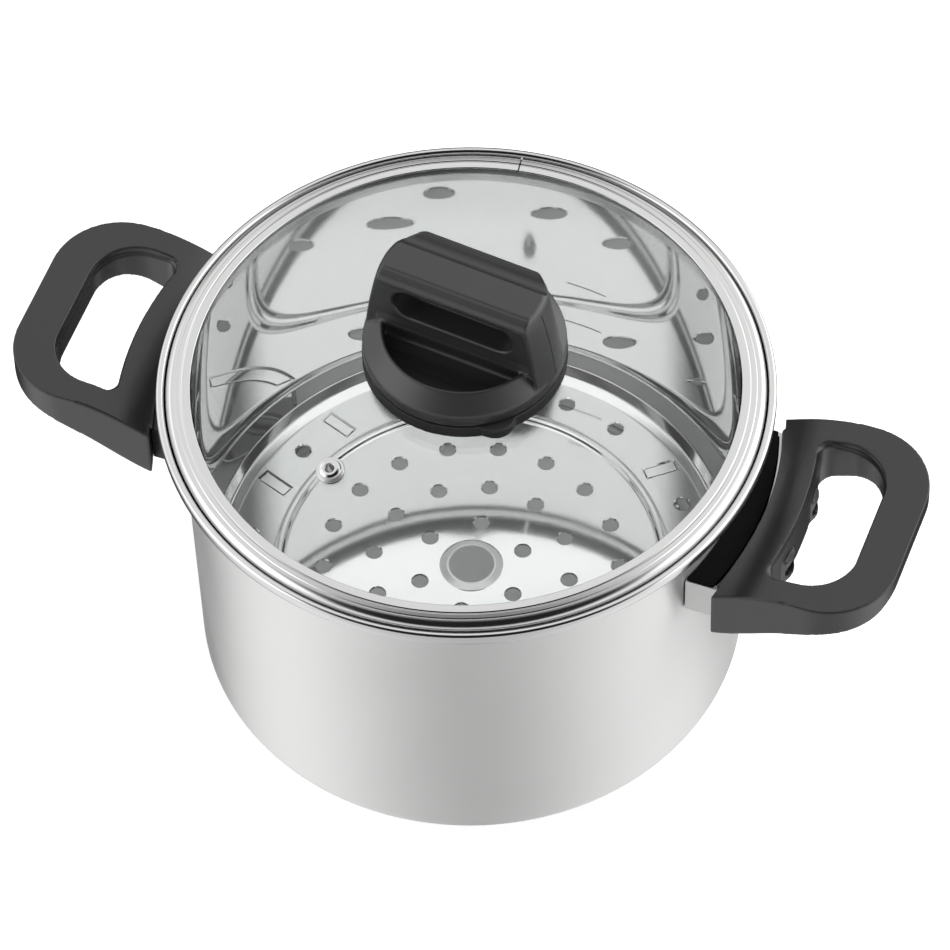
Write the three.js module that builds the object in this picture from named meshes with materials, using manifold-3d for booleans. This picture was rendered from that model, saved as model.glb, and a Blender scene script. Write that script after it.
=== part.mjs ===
import * as THREE from "three";
import { mergeVertices } from "three/addons/utils/BufferGeometryUtils.js";
import Module from "manifold-3d";

const wasm = await Module();
wasm.setup();

// Fineness of round shapes
const ringSides = 40;
const smallSides = 12;
const holeSides = 8;
const arcSteps = 6;

// Gap left between pieces that touch, millimetres like every size here
const seat = 0.3;

// Pot: drawn sheet, narrower at the bottom, with a stepped rim
const mouthRadius = 110;
const wall = 1.0;
const bodyTaper = 2.2;
const potHeight = 155.1;
const cornerRun = 9.3;
const cornerRise = 9.2;
const ledgeDepth = 7.3;
const ledgeWidth = 6.9;
const beadWidth = 3.3;
const flareRise = 5.8;

// Base: aluminium disc in a steel cup
const baseHeight = 5.0;
const capSheet = 0.8;
const capInset = 0.5;

// Handles: loops of plastic, measured outwards from the pot's wall
const handleReach = 13;
const innerBar = 13;
const fingerGap = 28;
const gripWidth = 16.5;
const handleHalf = 46;
const handleDrop = 17.75;
const outerCorner = 28;
const openingHalf = 35;
const openingOuterCorner = 19;
const openingInnerCorner = 5;
const handleEdge = 2.4;
const tipThickness = 12.4;
const rootThickness = 29.4;
const rootDroop = 5.6;

// Straps that carry the handles
const strapSheet = 2.2;
const spacerCap = 0.9;
const spacerShow = 0.8;
const strapHalf = 39;
const strapHeight = 17.8;
const strapDrop = 12.0;
const footLength = 12;

// Handle screws and their nuts
const screwAngle = 6.4;
const screwDrop = 18.4;
const screwRadius = 2.0;
const headRadius = 3.6;
const headHeight = 2.6;
const bossRadius = 6.4;
const bossProud = 2.0;
const nutHeight = 4.0;
const nutRadius = 4.3;

// Lid: domed glass in a crimped band with a soft ring
const glassThickness = 4.0;
const domeRise = 20.8;
const glassFlat = 2.3;
const bandSheet = 0.8;
const bandGap = 0.35;
const skirtGap = 0.5;
const skirtDrop = 3.8;
const bandReach = 9.8;
const sealLeg = 1.0;
const sealWall = 1.2;

// Steam vent
const ventRadius = 71.5;
const ventAngle = -115.6;
const ventBore = 1.8;
const ventBarrel = 3.0;
const ventFlange = 5.5;
const ventProud = 2.2;

// Knob
const seatRadius = 39.6;
const seatRise = 3.7;
const lobeRadius = 8;
const lobeProud = 3.6;
const lobeAngle = -51;
const seatShow = 0.3;
const knobRadius = seatRadius - seatShow;
const knobSide = 5.5;
const coneRise = 6.5;
const coneRun = 7.1;
const scoopFloor = 3.5;
const scoopRim = 1.7;
const gripHeight = 34.5;
const gripInset = 0.3;
const gripFront = 10.8;
const gripBack = 18;
const gripTurn = -6;
const recessHalf = 25.5;
const recessHeight = 14;
const recessDepth = 7;
const insertRadius = 4.0;
const insertLength = 10;
const stemRadius = 2.5;
const stemHead = 4.6;
const stemHeadHeight = 3.0;
const washerRadius = 9;
const washerHeight = 1.0;

// Steamer plate and its legs
const plateSheet = 0.9;
const plateGap = 4.6;
const plateRise = 30;
const plateLip = 3.4;
const fingerHole = 9;
const fingerLip = 2.4;
const fingerSlope = 4.2;
const beadRise = 1.5;
const plateTurn = 39.5;
const perforation = 3.15;
const innerRing = 0.211;
const middleRing = 0.385;
const outerRing = 0.574;
const beadRing = 0.75;
const edgeRing = 0.87;
const slotSpread = 12.5;
const slotLength = 13;
const slotWidth = 5;
const legSheet = 1.5;
const legWidth = 16.4;

// Helpers
const degrees = Math.PI / 180;

function solid(geometry) {
  const flat = geometry.index ? geometry.toNonIndexed() : geometry;
  const bare = new THREE.BufferGeometry();
  bare.setAttribute("position", flat.getAttribute("position"));
  const joined = mergeVertices(bare, 1e-4);
  const corners = joined.index.array;
  const kept = [];
  for (let i = 0; i < corners.length; i += 3) {
    const [a, b, c] = [corners[i], corners[i + 1], corners[i + 2]];
    if (a !== b && b !== c && c !== a) kept.push(a, b, c);
  }
  const vertProperties = joined.attributes.position.array;
  return new wasm.Manifold(
    new wasm.Mesh({ numProp: 3, vertProperties, triVerts: new Uint32Array(kept) }),
  );
}

function turned(profile, sides = ringSides) {
  const points = profile.map(([r, z]) => new THREE.Vector2(r, z));
  return new THREE.LatheGeometry(points, sides).rotateX(Math.PI / 2);
}

function turnedRing(profile, sides = ringSides) {
  return turned([...profile, profile[0]], sides);
}

function outlined(outline) {
  return new THREE.Shape(outline.map(([x, y]) => new THREE.Vector2(x, y)));
}

function prism(outline, depth) {
  return new THREE.ExtrudeGeometry(outlined(outline), { depth, bevelEnabled: false });
}

function slab(outline, low, high) {
  return prism(outline, high - low).translate(0, 0, low);
}

function sideways(outline, half) {
  const alongY = new THREE.Matrix4().makeBasis(
    new THREE.Vector3(1, 0, 0),
    new THREE.Vector3(0, 0, 1),
    new THREE.Vector3(0, -1, 0),
  );
  return prism(outline, 2 * half).applyMatrix4(alongY).translate(0, half, 0);
}

function lengthways(outline, half) {
  const alongX = new THREE.Matrix4().makeBasis(
    new THREE.Vector3(0, 1, 0),
    new THREE.Vector3(0, 0, 1),
    new THREE.Vector3(1, 0, 0),
  );
  return prism(outline, 2 * half).applyMatrix4(alongX).translate(-half, 0, 0);
}

function box(low, high) {
  const size = high.map((value, i) => value - low[i]);
  const middle = high.map((value, i) => (value + low[i]) / 2);
  return new THREE.BoxGeometry(...size).translate(...middle);
}

function drill(radius, low, high, sides = smallSides) {
  const rod = new THREE.CylinderGeometry(radius, radius, high - low, sides);
  return rod.rotateX(Math.PI / 2).translate(0, 0, (low + high) / 2);
}

function arc(x, y, radius, from, to, steps = arcSteps) {
  const points = [];
  for (let i = 0; i <= steps; i += 1) {
    const angle = from + ((to - from) * i) / steps;
    points.push([x + radius * Math.cos(angle), y + radius * Math.sin(angle)]);
  }
  return points;
}

const part = new THREE.Group();

function add(name, body, look, turn = 0) {
  const made = body.getMesh();
  const geometry = new THREE.BufferGeometry();
  geometry.setAttribute("position", new THREE.BufferAttribute(made.vertProperties, 3));
  geometry.setIndex(new THREE.BufferAttribute(made.triVerts, 1));
  geometry.computeVertexNormals();
  const mesh = new THREE.Mesh(geometry, new THREE.MeshStandardMaterial(look));
  mesh.name = name;
  mesh.rotation.z = turn * degrees;
  part.add(mesh);
}

// Finishes
const satinSteel = { color: 0xc4c6c4, roughness: 0.28, metalness: 1 };
const polishedSteel = { color: 0xd0d1d0, roughness: 0.14, metalness: 1 };
const zincSteel = { color: 0xa9adb0, roughness: 0.4, metalness: 1 };
const aluminium = { color: 0xbfc1c3, roughness: 0.5, metalness: 1 };
const brass = { color: 0xb89a54, roughness: 0.35, metalness: 1 };
const darkPlastic = { color: 0x2b2c2d, roughness: 0.55, metalness: 0 };
const silicone = { color: 0x9a9c9b, roughness: 0.7, metalness: 0 };
const darkSilicone = { color: 0x222324, roughness: 0.7, metalness: 0 };
const clearGlass = { color: 0xeef2f1, roughness: 0.04, metalness: 0, transparent: true, opacity: 0.3 };

// Heights and radii that follow from the sizes
const bodyRadius = mouthRadius + wall;
const lowRadius = bodyRadius - bodyTaper;
const floorRadius = lowRadius - cornerRun;
const floorUnder = baseHeight + seat;
const floorTop = floorUnder + wall;
const cornerTop = floorUnder + cornerRise;
const ledgeTop = potHeight - ledgeDepth;
const ledgeRadius = mouthRadius + ledgeWidth;
const beadRadius = ledgeRadius + beadWidth;
const flareLow = ledgeTop - flareRise;

function wallRadius(z) {
  return lowRadius + (bodyTaper * (z - cornerTop)) / (flareLow - cornerTop);
}

// Pot body
const corner = (inset) => [0.35, 0.65, 0.88].map((share) => {
  const angle = (share * Math.PI) / 2;
  const run = cornerRun * Math.sin(angle);
  const rise = cornerRise * (1 - Math.cos(angle));
  const shrink = inset * (1 - rise / cornerRise);
  return [floorRadius + run - inset * Math.sin(angle), floorUnder + rise + shrink];
});
const rimProfile = [
  [bodyRadius, flareLow],
  [bodyRadius + 0.25 * ledgeWidth, ledgeTop - 0.45 * flareRise],
  [ledgeRadius - 0.4, ledgeTop - 1.2 * wall],
  [ledgeRadius + 0.6 * beadWidth, potHeight - 0.75 * ledgeDepth],
  [beadRadius, potHeight - 0.35 * ledgeDepth],
  [beadRadius - 0.15 * beadWidth, potHeight - 0.11 * ledgeDepth],
  [beadRadius - 0.5 * beadWidth, potHeight],
  [ledgeRadius + 0.12 * beadWidth, potHeight - 0.1 * ledgeDepth],
  [ledgeRadius, potHeight - 0.35 * ledgeDepth],
  [ledgeRadius, ledgeTop + 0.6],
  [ledgeRadius - 0.6, ledgeTop],
  [mouthRadius + 0.2 * ledgeWidth, ledgeTop],
  [mouthRadius, ledgeTop - 0.2 * flareRise],
];
const potProfile = [
  [0, floorUnder],
  [floorRadius, floorUnder],
  ...corner(0),
  [lowRadius, cornerTop],
  ...rimProfile,
  [lowRadius - wall, cornerTop],
  ...corner(wall).reverse(),
  [floorRadius, floorTop],
  [0, floorTop],
];
add("pot_body", solid(turned(potProfile)), satinSteel);

// Base
const capRadius = floorRadius - capInset;
const capEdge = 2 * capSheet;
const capProfile = [
  [0, 0],
  [capRadius - capEdge, 0],
  [capRadius - 0.3 * capEdge, 0.3 * capEdge],
  [capRadius, capEdge],
  [capRadius, baseHeight],
  [capRadius - capSheet, baseHeight],
  [capRadius - capSheet, capEdge],
  [capRadius - capEdge, capSheet],
  [0, capSheet],
];
add("base_cap", solid(turned(capProfile)), satinSteel);
const coreRadius = capRadius - capSheet - seat;
const coreProfile = [
  [0, capSheet + seat],
  [capRadius - capEdge - seat, capSheet + seat],
  [coreRadius, capEdge + seat],
  [coreRadius, baseHeight],
  [0, baseHeight],
];
add("base_core", solid(turned(coreProfile)), aluminium);

// Handle, drawn on the +X side and turned round for the other
const handleInner = bodyRadius + handleReach;
const openingInner = handleInner + innerBar;
const openingOuter = openingInner + fingerGap;
const handleOuter = openingOuter + gripWidth;
const handleTop = potHeight - handleDrop;
const handleRoot = Math.asin(handleHalf / handleInner);
const handleOutline = [
  ...arc(handleOuter - outerCorner, outerCorner - handleHalf, outerCorner, -Math.PI / 2, 0),
  ...arc(handleOuter - outerCorner, handleHalf - outerCorner, outerCorner, 0, Math.PI / 2),
  ...arc(0, 0, handleInner, handleRoot, -handleRoot, 2 * arcSteps),
];
const openingTurn = Math.asin((openingHalf - openingInnerCorner) / openingInner);
const openingStart = openingInner * Math.cos(openingTurn) + openingInnerCorner;
const openingSide = openingHalf - openingInnerCorner;
const openingEnd = openingOuter - openingOuterCorner;
const openingBend = openingHalf - openingOuterCorner;
const openingOutline = [
  ...arc(0, 0, openingInner, -openingTurn, openingTurn, 2 * arcSteps),
  ...arc(openingStart, openingSide, openingInnerCorner, Math.PI, Math.PI / 2, 3).slice(1),
  ...arc(openingEnd, openingBend, openingOuterCorner, Math.PI / 2, 0),
  ...arc(openingEnd, -openingBend, openingOuterCorner, 0, -Math.PI / 2),
  ...arc(openingStart, -openingSide, openingInnerCorner, -Math.PI / 2, -Math.PI, 3).slice(0, -1),
];
const handleShape = outlined(handleOutline);
handleShape.holes.push(outlined(openingOutline));
const blankHeight = 2 * rootThickness;
const handleBlank = new THREE.ExtrudeGeometry(handleShape, {
  depth: blankHeight,
  bevelThickness: handleEdge,
  bevelSize: handleEdge,
  bevelOffset: -handleEdge,
  bevelSegments: 2,
}).translate(0, 0, handleTop - blankHeight - handleEdge);

const handleLength = handleOuter - handleInner;
const along = (share) => handleInner + share * handleLength;
const under = (share) => handleTop - tipThickness - share * (rootThickness - tipThickness);
const rootEdge = handleInner * Math.cos(handleRoot) - 1;
const sideOutline = [
  [rootEdge, under(1.22)],
  [along(-0.1), under(1.18)],
  [along(0.035), under(1)],
  [along(0.313), under(0.53)],
  [along(0.487), under(0.29)],
  [along(0.626), under(0.12)],
  [along(0.904), under(0)],
  [along(0.97), handleTop - 0.8 * tipThickness],
  [along(1.02), handleTop - 0.5 * tipThickness],
  [along(1.02), handleTop + 1],
  [along(0.49), handleTop + 1],
  [along(0.49), handleTop],
  [along(0.28), handleTop - 0.22 * rootDroop],
  [along(0.14), handleTop - 0.56 * rootDroop],
  [along(0), handleTop - rootDroop],
  [rootEdge, handleTop - 1.75 * rootDroop],
];
const screwHeight = handleTop - screwDrop;
const bossMiddle = openingInner + bossProud - bossRadius;
const headBack = openingInner + bossProud - headHeight - 3 * seat;
const radial = (geometry, angle) => geometry.rotateY(Math.PI / 2).translate(0, 0, screwHeight).rotateZ(angle);
const screwTurns = [-screwAngle * degrees, screwAngle * degrees];

let handle = solid(handleBlank);
for (const turn of screwTurns) {
  const boss = drill(bossRadius, handleTop - 1.2 * rootThickness, handleTop - 0.4 * rootThickness);
  handle = handle.add(solid(boss.translate(bossMiddle, 0, 0).rotateZ(turn)));
}
handle = handle.intersect(solid(sideways(sideOutline, 2 * handleHalf)));
for (const turn of screwTurns) {
  const shaft = drill(screwRadius + seat, handleInner - 5, headBack + 1);
  const recess = drill(headRadius + seat, headBack - seat, openingInner + bossProud + 1);
  handle = handle.subtract(solid(radial(shaft, turn)));
  handle = handle.subtract(solid(radial(recess, turn)));
}
add("right_handle", handle, darkPlastic);
add("left_handle", handle, darkPlastic, 180);

// Strap between wall and handle
const strapTop = handleTop - strapDrop;
const strapBottom = strapTop - strapHeight;
const footRadius = wallRadius(strapTop) + seat;
const webRadius = handleInner - seat;
const legOut = strapHalf + strapSheet / 2;
const legIn = strapHalf - strapSheet / 2;
const footInner = Math.asin(legOut / footRadius) - footLength / footRadius;
const halfStrap = [
  ...arc(0, 0, footRadius, Math.asin(legOut / footRadius), footInner, 4),
  ...arc(0, 0, footRadius + strapSheet, footInner, Math.asin(legIn / (footRadius + strapSheet)), 4),
];
const webOut = Math.asin(legOut / webRadius);
const webIn = Math.asin(legIn / (webRadius - strapSheet));
const strapOutline = [
  ...arc(0, 0, webRadius, -webOut, webOut, 2 * arcSteps),
  ...halfStrap,
  ...arc(0, 0, webRadius - strapSheet, webIn, -webIn, 2 * arcSteps),
  ...halfStrap.map(([x, y]) => [x, -y]).reverse(),
];
let strap = solid(slab(strapOutline, strapBottom, strapTop));
for (const turn of screwTurns) {
  const hole = drill(screwRadius + seat, webRadius - 3 * strapSheet, webRadius + strapSheet);
  strap = strap.subtract(solid(radial(hole, turn)));
}
add("right_bracket", strap, satinSteel);
add("left_bracket", strap, satinSteel, 180);

// Handle screws and nuts
const nutFace = webRadius - strapSheet - seat;
const screwEnd = nutFace - nutHeight - 1;
const screwProfile = [
  [0, screwEnd],
  [screwRadius - 0.5, screwEnd],
  [screwRadius, screwEnd + 0.5],
  [screwRadius, headBack],
  [headRadius, headBack],
  [headRadius, headBack + 0.6 * headHeight],
  [0.6 * headRadius, headBack + headHeight],
  [0, headBack + headHeight],
];
const slot = [0.5 * headHeight, 0.25 * headRadius, 2 * headRadius];
const nutOutline = arc(0, 0, nutRadius, 0, (5 / 3) * Math.PI, 5);
const nutShape = outlined(nutOutline);
nutShape.holes.push(outlined(arc(0, 0, screwRadius + seat, 0, 1.875 * Math.PI, 15)));
screwTurns.forEach((turn, i) => {
  const grooveLow = [-slot[2], -slot[1] / 2, headBack + slot[0]];
  const grooveHigh = [slot[2], slot[1] / 2, headBack + 2 * headHeight];
  const groove = box(grooveLow, grooveHigh);
  const screw = solid(radial(turned(screwProfile, smallSides), turn)).subtract(solid(radial(groove, turn)));
  const nutBlank = new THREE.ExtrudeGeometry(nutShape, { depth: nutHeight, bevelEnabled: false });
  const nut = solid(radial(nutBlank.translate(0, 0, nutFace - nutHeight), turn));
  add("right_screw_" + (i + 1), screw, zincSteel);
  add("left_screw_" + (i + 1), screw, zincSteel, 180);
  add("right_nut_" + (i + 1), nut, zincSteel);
  add("left_nut_" + (i + 1), nut, zincSteel, 180);
});

// Spacer in each strap: keeps the handle off the hot wall, holds the nuts and covers the strap's feet
const spacerInner = footRadius + strapSheet + seat;
const spacerSide = legIn - seat;
const spacerTop = strapTop + seat + spacerCap;
const spacerWall = wallRadius(spacerTop) + seat;
const spacerStep = footInner - seat / footRadius;
const spacerTurn = (radius) => Math.asin(spacerSide / radius);
const spacerOutline = [
  ...arc(0, 0, nutFace, -spacerTurn(nutFace), spacerTurn(nutFace), 2 * arcSteps),
  ...arc(0, 0, spacerInner, spacerTurn(spacerInner), spacerStep, 4),
  ...arc(0, 0, spacerWall, spacerStep, -spacerStep, arcSteps),
  ...arc(0, 0, spacerInner, -spacerStep, -spacerTurn(spacerInner), 4),
];
const coverTurn = (radius) => Math.asin((legOut - spacerShow) / radius);
const coverOutline = [
  ...arc(0, 0, nutFace, -coverTurn(nutFace), coverTurn(nutFace), 2 * arcSteps),
  ...arc(0, 0, spacerWall, coverTurn(spacerWall), -coverTurn(spacerWall), 2 * arcSteps),
];
let spacer = solid(slab(spacerOutline, strapBottom + seat, spacerTop));
spacer = spacer.add(solid(slab(coverOutline, strapTop + seat, spacerTop)));
for (const turn of screwTurns) {
  const pocket = drill(nutRadius + seat, nutFace - nutHeight - seat, nutFace + 1);
  const tip = drill(screwRadius + seat, screwEnd - seat, nutFace);
  spacer = spacer.subtract(solid(radial(pocket, turn)));
  spacer = spacer.subtract(solid(radial(tip, turn)));
}
add("right_spacer", spacer, darkPlastic);
add("left_spacer", spacer, darkPlastic, 180);

// Lid: heights from the ledge upwards
const bandUnder = ledgeTop + seat;
const sealUnder = bandUnder + bandSheet + seat;
const glassUnder = sealUnder + sealLeg + seat;
const glassEdge = glassUnder + glassThickness;
const bandTop = glassEdge + seat + sealLeg + seat + bandSheet;
const bandRadius = ledgeRadius - bandGap;
const sealRadius = bandRadius - bandSheet - seat;
const glassRadius = sealRadius - sealWall - seat;
const domeRadius = glassRadius - glassFlat;
const domeSphere = (domeRadius ** 2 + domeRise ** 2) / (2 * domeRise);
const crown = glassEdge + domeRise;
const domeTop = (r) => crown - domeSphere + Math.sqrt(domeSphere ** 2 - r ** 2);
const stemHole = stemRadius + 2;

// Glass
const domeStations = [stemHole, ...[0.27, 0.5, 0.7, 0.87].map((share) => share * domeRadius)];
const glassProfile = [
  ...domeStations.map((r) => [r, domeTop(r) - glassThickness]),
  [domeRadius, glassUnder],
  [glassRadius - 0.4, glassUnder],
  [glassRadius, glassUnder + 0.6],
  [glassRadius, glassEdge - 0.6],
  [glassRadius - 0.4, glassEdge],
  [domeRadius, glassEdge],
  ...domeStations.map((r) => [r, domeTop(r)]).reverse(),
];
const ventTilt = Math.asin(ventRadius / domeSphere);
const onVent = (geometry) =>
  geometry
    .rotateY(ventTilt)
    .translate(ventRadius, 0, domeTop(ventRadius))
    .rotateZ(ventAngle * degrees);
const ventHole = onVent(drill(ventBarrel + seat, -2 * glassThickness, glassThickness));
add("lid_glass", solid(turnedRing(glassProfile)).subtract(solid(ventHole)), clearGlass);

// Steel band, one bent sheet seen in section
const skirtRadius = mouthRadius - skirtGap;
const lipRadius = bandRadius - bandReach;
const lipTop = domeTop(lipRadius) + 2 * seat + bandSheet;
const valley = bandRadius - 0.57 * bandReach;
const bandProfile = [
  [skirtRadius, bandUnder - skirtDrop],
  [skirtRadius, bandUnder],
  [bandRadius - 0.6, bandUnder],
  [bandRadius, bandUnder + 0.6],
  [bandRadius, bandTop - 1.2],
  [bandRadius - 0.8, bandTop - 0.2],
  [bandRadius - 2.2, bandTop],
  [valley + 0.8, bandTop],
  [valley, bandTop - 0.35],
  [valley - 0.8, bandTop],
  [lipRadius, lipTop],
  [lipRadius - 0.2, lipTop - bandSheet],
  [valley - 0.8, bandTop - bandSheet],
  [valley, bandTop - 0.35 - bandSheet],
  [valley + 0.8, bandTop - bandSheet],
  [bandRadius - 1.8, bandTop - bandSheet],
  [bandRadius - bandSheet, bandTop - 1.6],
  [bandRadius - bandSheet, bandUnder + bandSheet],
  [skirtRadius - bandSheet, bandUnder + bandSheet],
  [skirtRadius - bandSheet, bandUnder - skirtDrop],
];
add("lid_band", solid(turnedRing(bandProfile)), polishedSteel);

// Soft ring that holds the glass edge
const sealInner = domeRadius + 0.2;
const sealProfile = [
  [domeRadius - 3, sealUnder],
  [sealRadius, sealUnder],
  [sealRadius, glassEdge + seat + sealLeg - 0.8],
  [sealRadius - 0.8, glassEdge + seat + sealLeg],
  [sealInner + 1, glassEdge + seat + sealLeg],
  [sealInner + 1, glassEdge + seat],
  [sealRadius - sealWall, glassEdge + seat],
  [sealRadius - sealWall, sealUnder + sealLeg],
  [domeRadius - 3, sealUnder + sealLeg],
];
add("lid_seal", solid(turnedRing(sealProfile)), silicone);

// Steam vent, a stepped eyelet flared under the glass
const ventUnder = -glassThickness / Math.cos(ventTilt) - seat;
const ventProfile = [
  [ventBore, ventUnder - 0.8],
  [ventBarrel + 1.4, ventUnder - 0.8],
  [ventBarrel + 1.4, ventUnder],
  [ventBarrel, ventUnder],
  [ventBarrel, seat],
  [ventFlange, seat],
  [ventFlange, 0.4 * ventProud],
  [0.75 * ventFlange, 0.5 * ventProud],
  [0.72 * ventFlange, 0.8 * ventProud],
  [0.52 * ventFlange, ventProud],
  [ventBore + 0.3, ventProud],
  [ventBore, ventProud - 0.4],
];
add("vent_eyelet", solid(onVent(turnedRing(ventProfile, smallSides))), polishedSteel);

// Knob seat, a spacer whose underside follows the dome
const seatTop = crown + seatRise;
const seatProfile = [
  [0.55 * seatRadius, domeTop(0.55 * seatRadius) + seat],
  [0.8 * seatRadius, domeTop(0.8 * seatRadius) + seat],
  [seatRadius, domeTop(seatRadius) + seat],
  [seatRadius, seatTop],
  [0.55 * seatRadius, seatTop],
];
const lobeMiddle = seatRadius + lobeProud - lobeRadius;
const lobeUnder = domeTop(lobeMiddle - lobeRadius) + seat;
const lobe = drill(lobeRadius, lobeUnder, seatTop).translate(lobeMiddle, 0, 0).rotateZ(lobeAngle * degrees);
add("knob_seat", solid(turnedRing(seatProfile)).add(solid(lobe)), darkSilicone);

// Knob: round base with two half-moon scoops and a grip bar across it
const knobUnder = seatTop + seat;
const coneLow = knobUnder + knobSide;
const coneTop = coneLow + coneRise;
const coneRadius = knobRadius - coneRun;
const scoopLevel = knobUnder + scoopFloor;
const gripTop = coneLow + gripHeight;
const insertTop = knobUnder + insertLength;
const baseProfile = [
  [0, knobUnder],
  [knobRadius - 0.8, knobUnder],
  [knobRadius, knobUnder + 0.8],
  [knobRadius, coneLow],
  [coneRadius, coneTop],
  [0, coneTop],
];
const gripRadius = knobRadius - gripInset;
const gripShares = [
  [0, 1],
  [0.3, 0.965],
  [0.67, 0.905],
  [0.85, 0.87],
  [0.95, 0.845],
  [1, 0.79],
];
const gripEnds = [
  [0, scoopLevel - 1],
  [gripRadius, scoopLevel - 1],
  ...gripShares.map(([up, out]) => [gripRadius * out, coneLow + gripHeight * up]),
  [0, gripTop],
];
const gripDepth = gripFront + gripBack;
const gripSection = [
  [-gripFront - 1.6, scoopLevel - 1],
  [gripBack + 1.2, scoopLevel - 1],
  [gripBack, gripTop - 4],
  [gripBack - 0.04 * gripDepth, gripTop - 1.6],
  [gripBack - 0.1 * gripDepth, gripTop - 1],
  [gripBack - 0.17 * gripDepth, gripTop - 2.8],
  [gripBack - 0.25 * gripDepth, gripTop - 4.2],
  [gripBack - 0.33 * gripDepth, gripTop - 3.2],
  [gripBack - 0.41 * gripDepth, gripTop],
  [-gripFront + 0.15 * gripDepth, gripTop],
  [-gripFront, gripTop - 2.4],
];
const recessMiddle = coneLow + 0.58 * gripHeight;
const recessRound = recessHeight / 2;
const recessOutline = [
  ...arc(recessHalf - recessRound, recessMiddle, recessRound, -Math.PI / 2, Math.PI / 2),
  ...arc(recessRound - recessHalf, recessMiddle, recessRound, Math.PI / 2, 1.5 * Math.PI),
];
const scoop = drill(coneRadius - scoopRim, scoopLevel, gripTop, ringSides);
const recess = sideways(recessOutline, recessDepth / 2).translate(0, recessDepth / 2 - gripFront, 0);
const mouthPlace = 1 - recessDepth / 2 - gripFront;
const recessMouth = sideways(recessOutline, recessDepth / 2).translate(0, mouthPlace, 0);
const bar = solid(turned(gripEnds)).intersect(solid(lengthways(gripSection, 2 * knobRadius)));
const knob = solid(turned(baseProfile))
  .subtract(solid(scoop))
  .add(bar)
  .subtract(solid(recess))
  .subtract(solid(recessMouth))
  .subtract(solid(drill(insertRadius + seat, knobUnder - 1, insertTop + 2)));
add("knob_body", knob, darkPlastic, gripTurn);

// Knob fixing: insert in the knob, screw, washer and gasket from under the glass
const insertProfile = [
  [stemRadius + seat, knobUnder + seat],
  [insertRadius, knobUnder + seat],
  [insertRadius, insertTop],
  [stemRadius + seat, insertTop],
];
add("knob_insert", solid(turnedRing(insertProfile, smallSides)), brass);
const gasketTop = domeTop(washerRadius) - glassThickness - seat;
const washerTop = gasketTop - washerHeight - seat;
const headTop = washerTop - washerHeight - seat;
const gasketProfile = [
  [stemRadius + seat, gasketTop - washerHeight],
  [washerRadius, gasketTop - washerHeight],
  [washerRadius, gasketTop],
  [stemRadius + seat, gasketTop],
];
add("knob_gasket", solid(turnedRing(gasketProfile, smallSides)), silicone);
const washerProfile = gasketProfile.map(([r, z]) => [r, z - gasketTop + washerTop]);
add("knob_washer", solid(turnedRing(washerProfile, smallSides)), zincSteel);
const stemProfile = [
  [0, headTop - stemHeadHeight],
  [0.6 * stemHead, headTop - stemHeadHeight],
  [stemHead, headTop - 0.4 * stemHeadHeight],
  [stemHead, headTop],
  [stemRadius, headTop],
  [stemRadius, insertTop - 0.5],
  [stemRadius - 0.5, insertTop],
  [0, insertTop],
];
const stemGroove = box(
  [-2 * stemHead, -0.6, headTop - 2 * stemHeadHeight],
  [2 * stemHead, 0.6, headTop - 0.55 * stemHeadHeight],
);
add("knob_screw", solid(turned(stemProfile, smallSides)).subtract(solid(stemGroove)), zincSteel);

// Steamer plate
const plateTop = floorTop + plateRise;
const plateUnder = plateTop - plateSheet;
const plateRadius = lowRadius - wall - plateGap;
const beadMiddle = beadRing * plateRadius;
const plateSurface = [
  [fingerHole, plateTop + fingerLip],
  [fingerHole + 1.2, plateTop + fingerLip - 0.3],
  [fingerHole + fingerSlope, plateTop],
  [beadMiddle - 2.2, plateTop],
  [beadMiddle - 0.9, plateTop + beadRise],
  [beadMiddle + 0.9, plateTop + beadRise],
  [beadMiddle + 2.2, plateTop],
  [plateRadius - 5.2, plateTop],
  [plateRadius - 2.4, plateTop + 0.45 * plateLip],
  [plateRadius - 1.2, plateTop + plateLip],
];
const plateRim = [
  [plateRadius - 0.4, plateTop + plateLip - 0.5],
  [plateRadius - 1.4, plateTop + 0.45 * plateLip - plateSheet],
];
const plateBack = plateSurface.slice(0, -2).map(([r, z]) => [r, z - plateSheet]);
const plateProfile = [...plateSurface, ...plateRim, ...plateBack.reverse()].reverse();
const stations = [0, 1, 2].map((i) => plateTurn + 120 * i);
const slotMiddle = edgeRing * plateRadius * Math.cos(slotSpread * degrees);
const slotSide = edgeRing * plateRadius * Math.sin(slotSpread * degrees);
const rings = [
  [innerRing, 6],
  [middleRing, 12],
  [outerRing, 18],
];
const edgeHoles = [0, 30, 45, 60, 75, 90];
const perforate = (share, angle) =>
  solid(
    drill(perforation, plateUnder - 1, plateTop + 1, holeSides)
      .translate(share * plateRadius, 0, 0)
      .rotateZ(angle * degrees),
  );
const cuts = [];
for (const [share, count] of rings) {
  for (let i = 0; i < count; i += 1) cuts.push(perforate(share, plateTurn + (360 * i) / count));
}
for (const station of stations) {
  for (const step of edgeHoles) cuts.push(perforate(edgeRing, station + step));
  for (const side of [-slotSide, slotSide]) {
    const low = [slotMiddle - slotLength / 2, side - slotWidth / 2, plateUnder - 1];
    const high = [slotMiddle + slotLength / 2, side + slotWidth / 2, plateTop + 1];
    cuts.push(solid(box(low, high).rotateZ(station * degrees)));
  }
}
let plate = solid(turnedRing(plateProfile));
for (const cut of cuts) plate = plate.subtract(cut);
add("steamer_plate", plate, polishedSteel);

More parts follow.
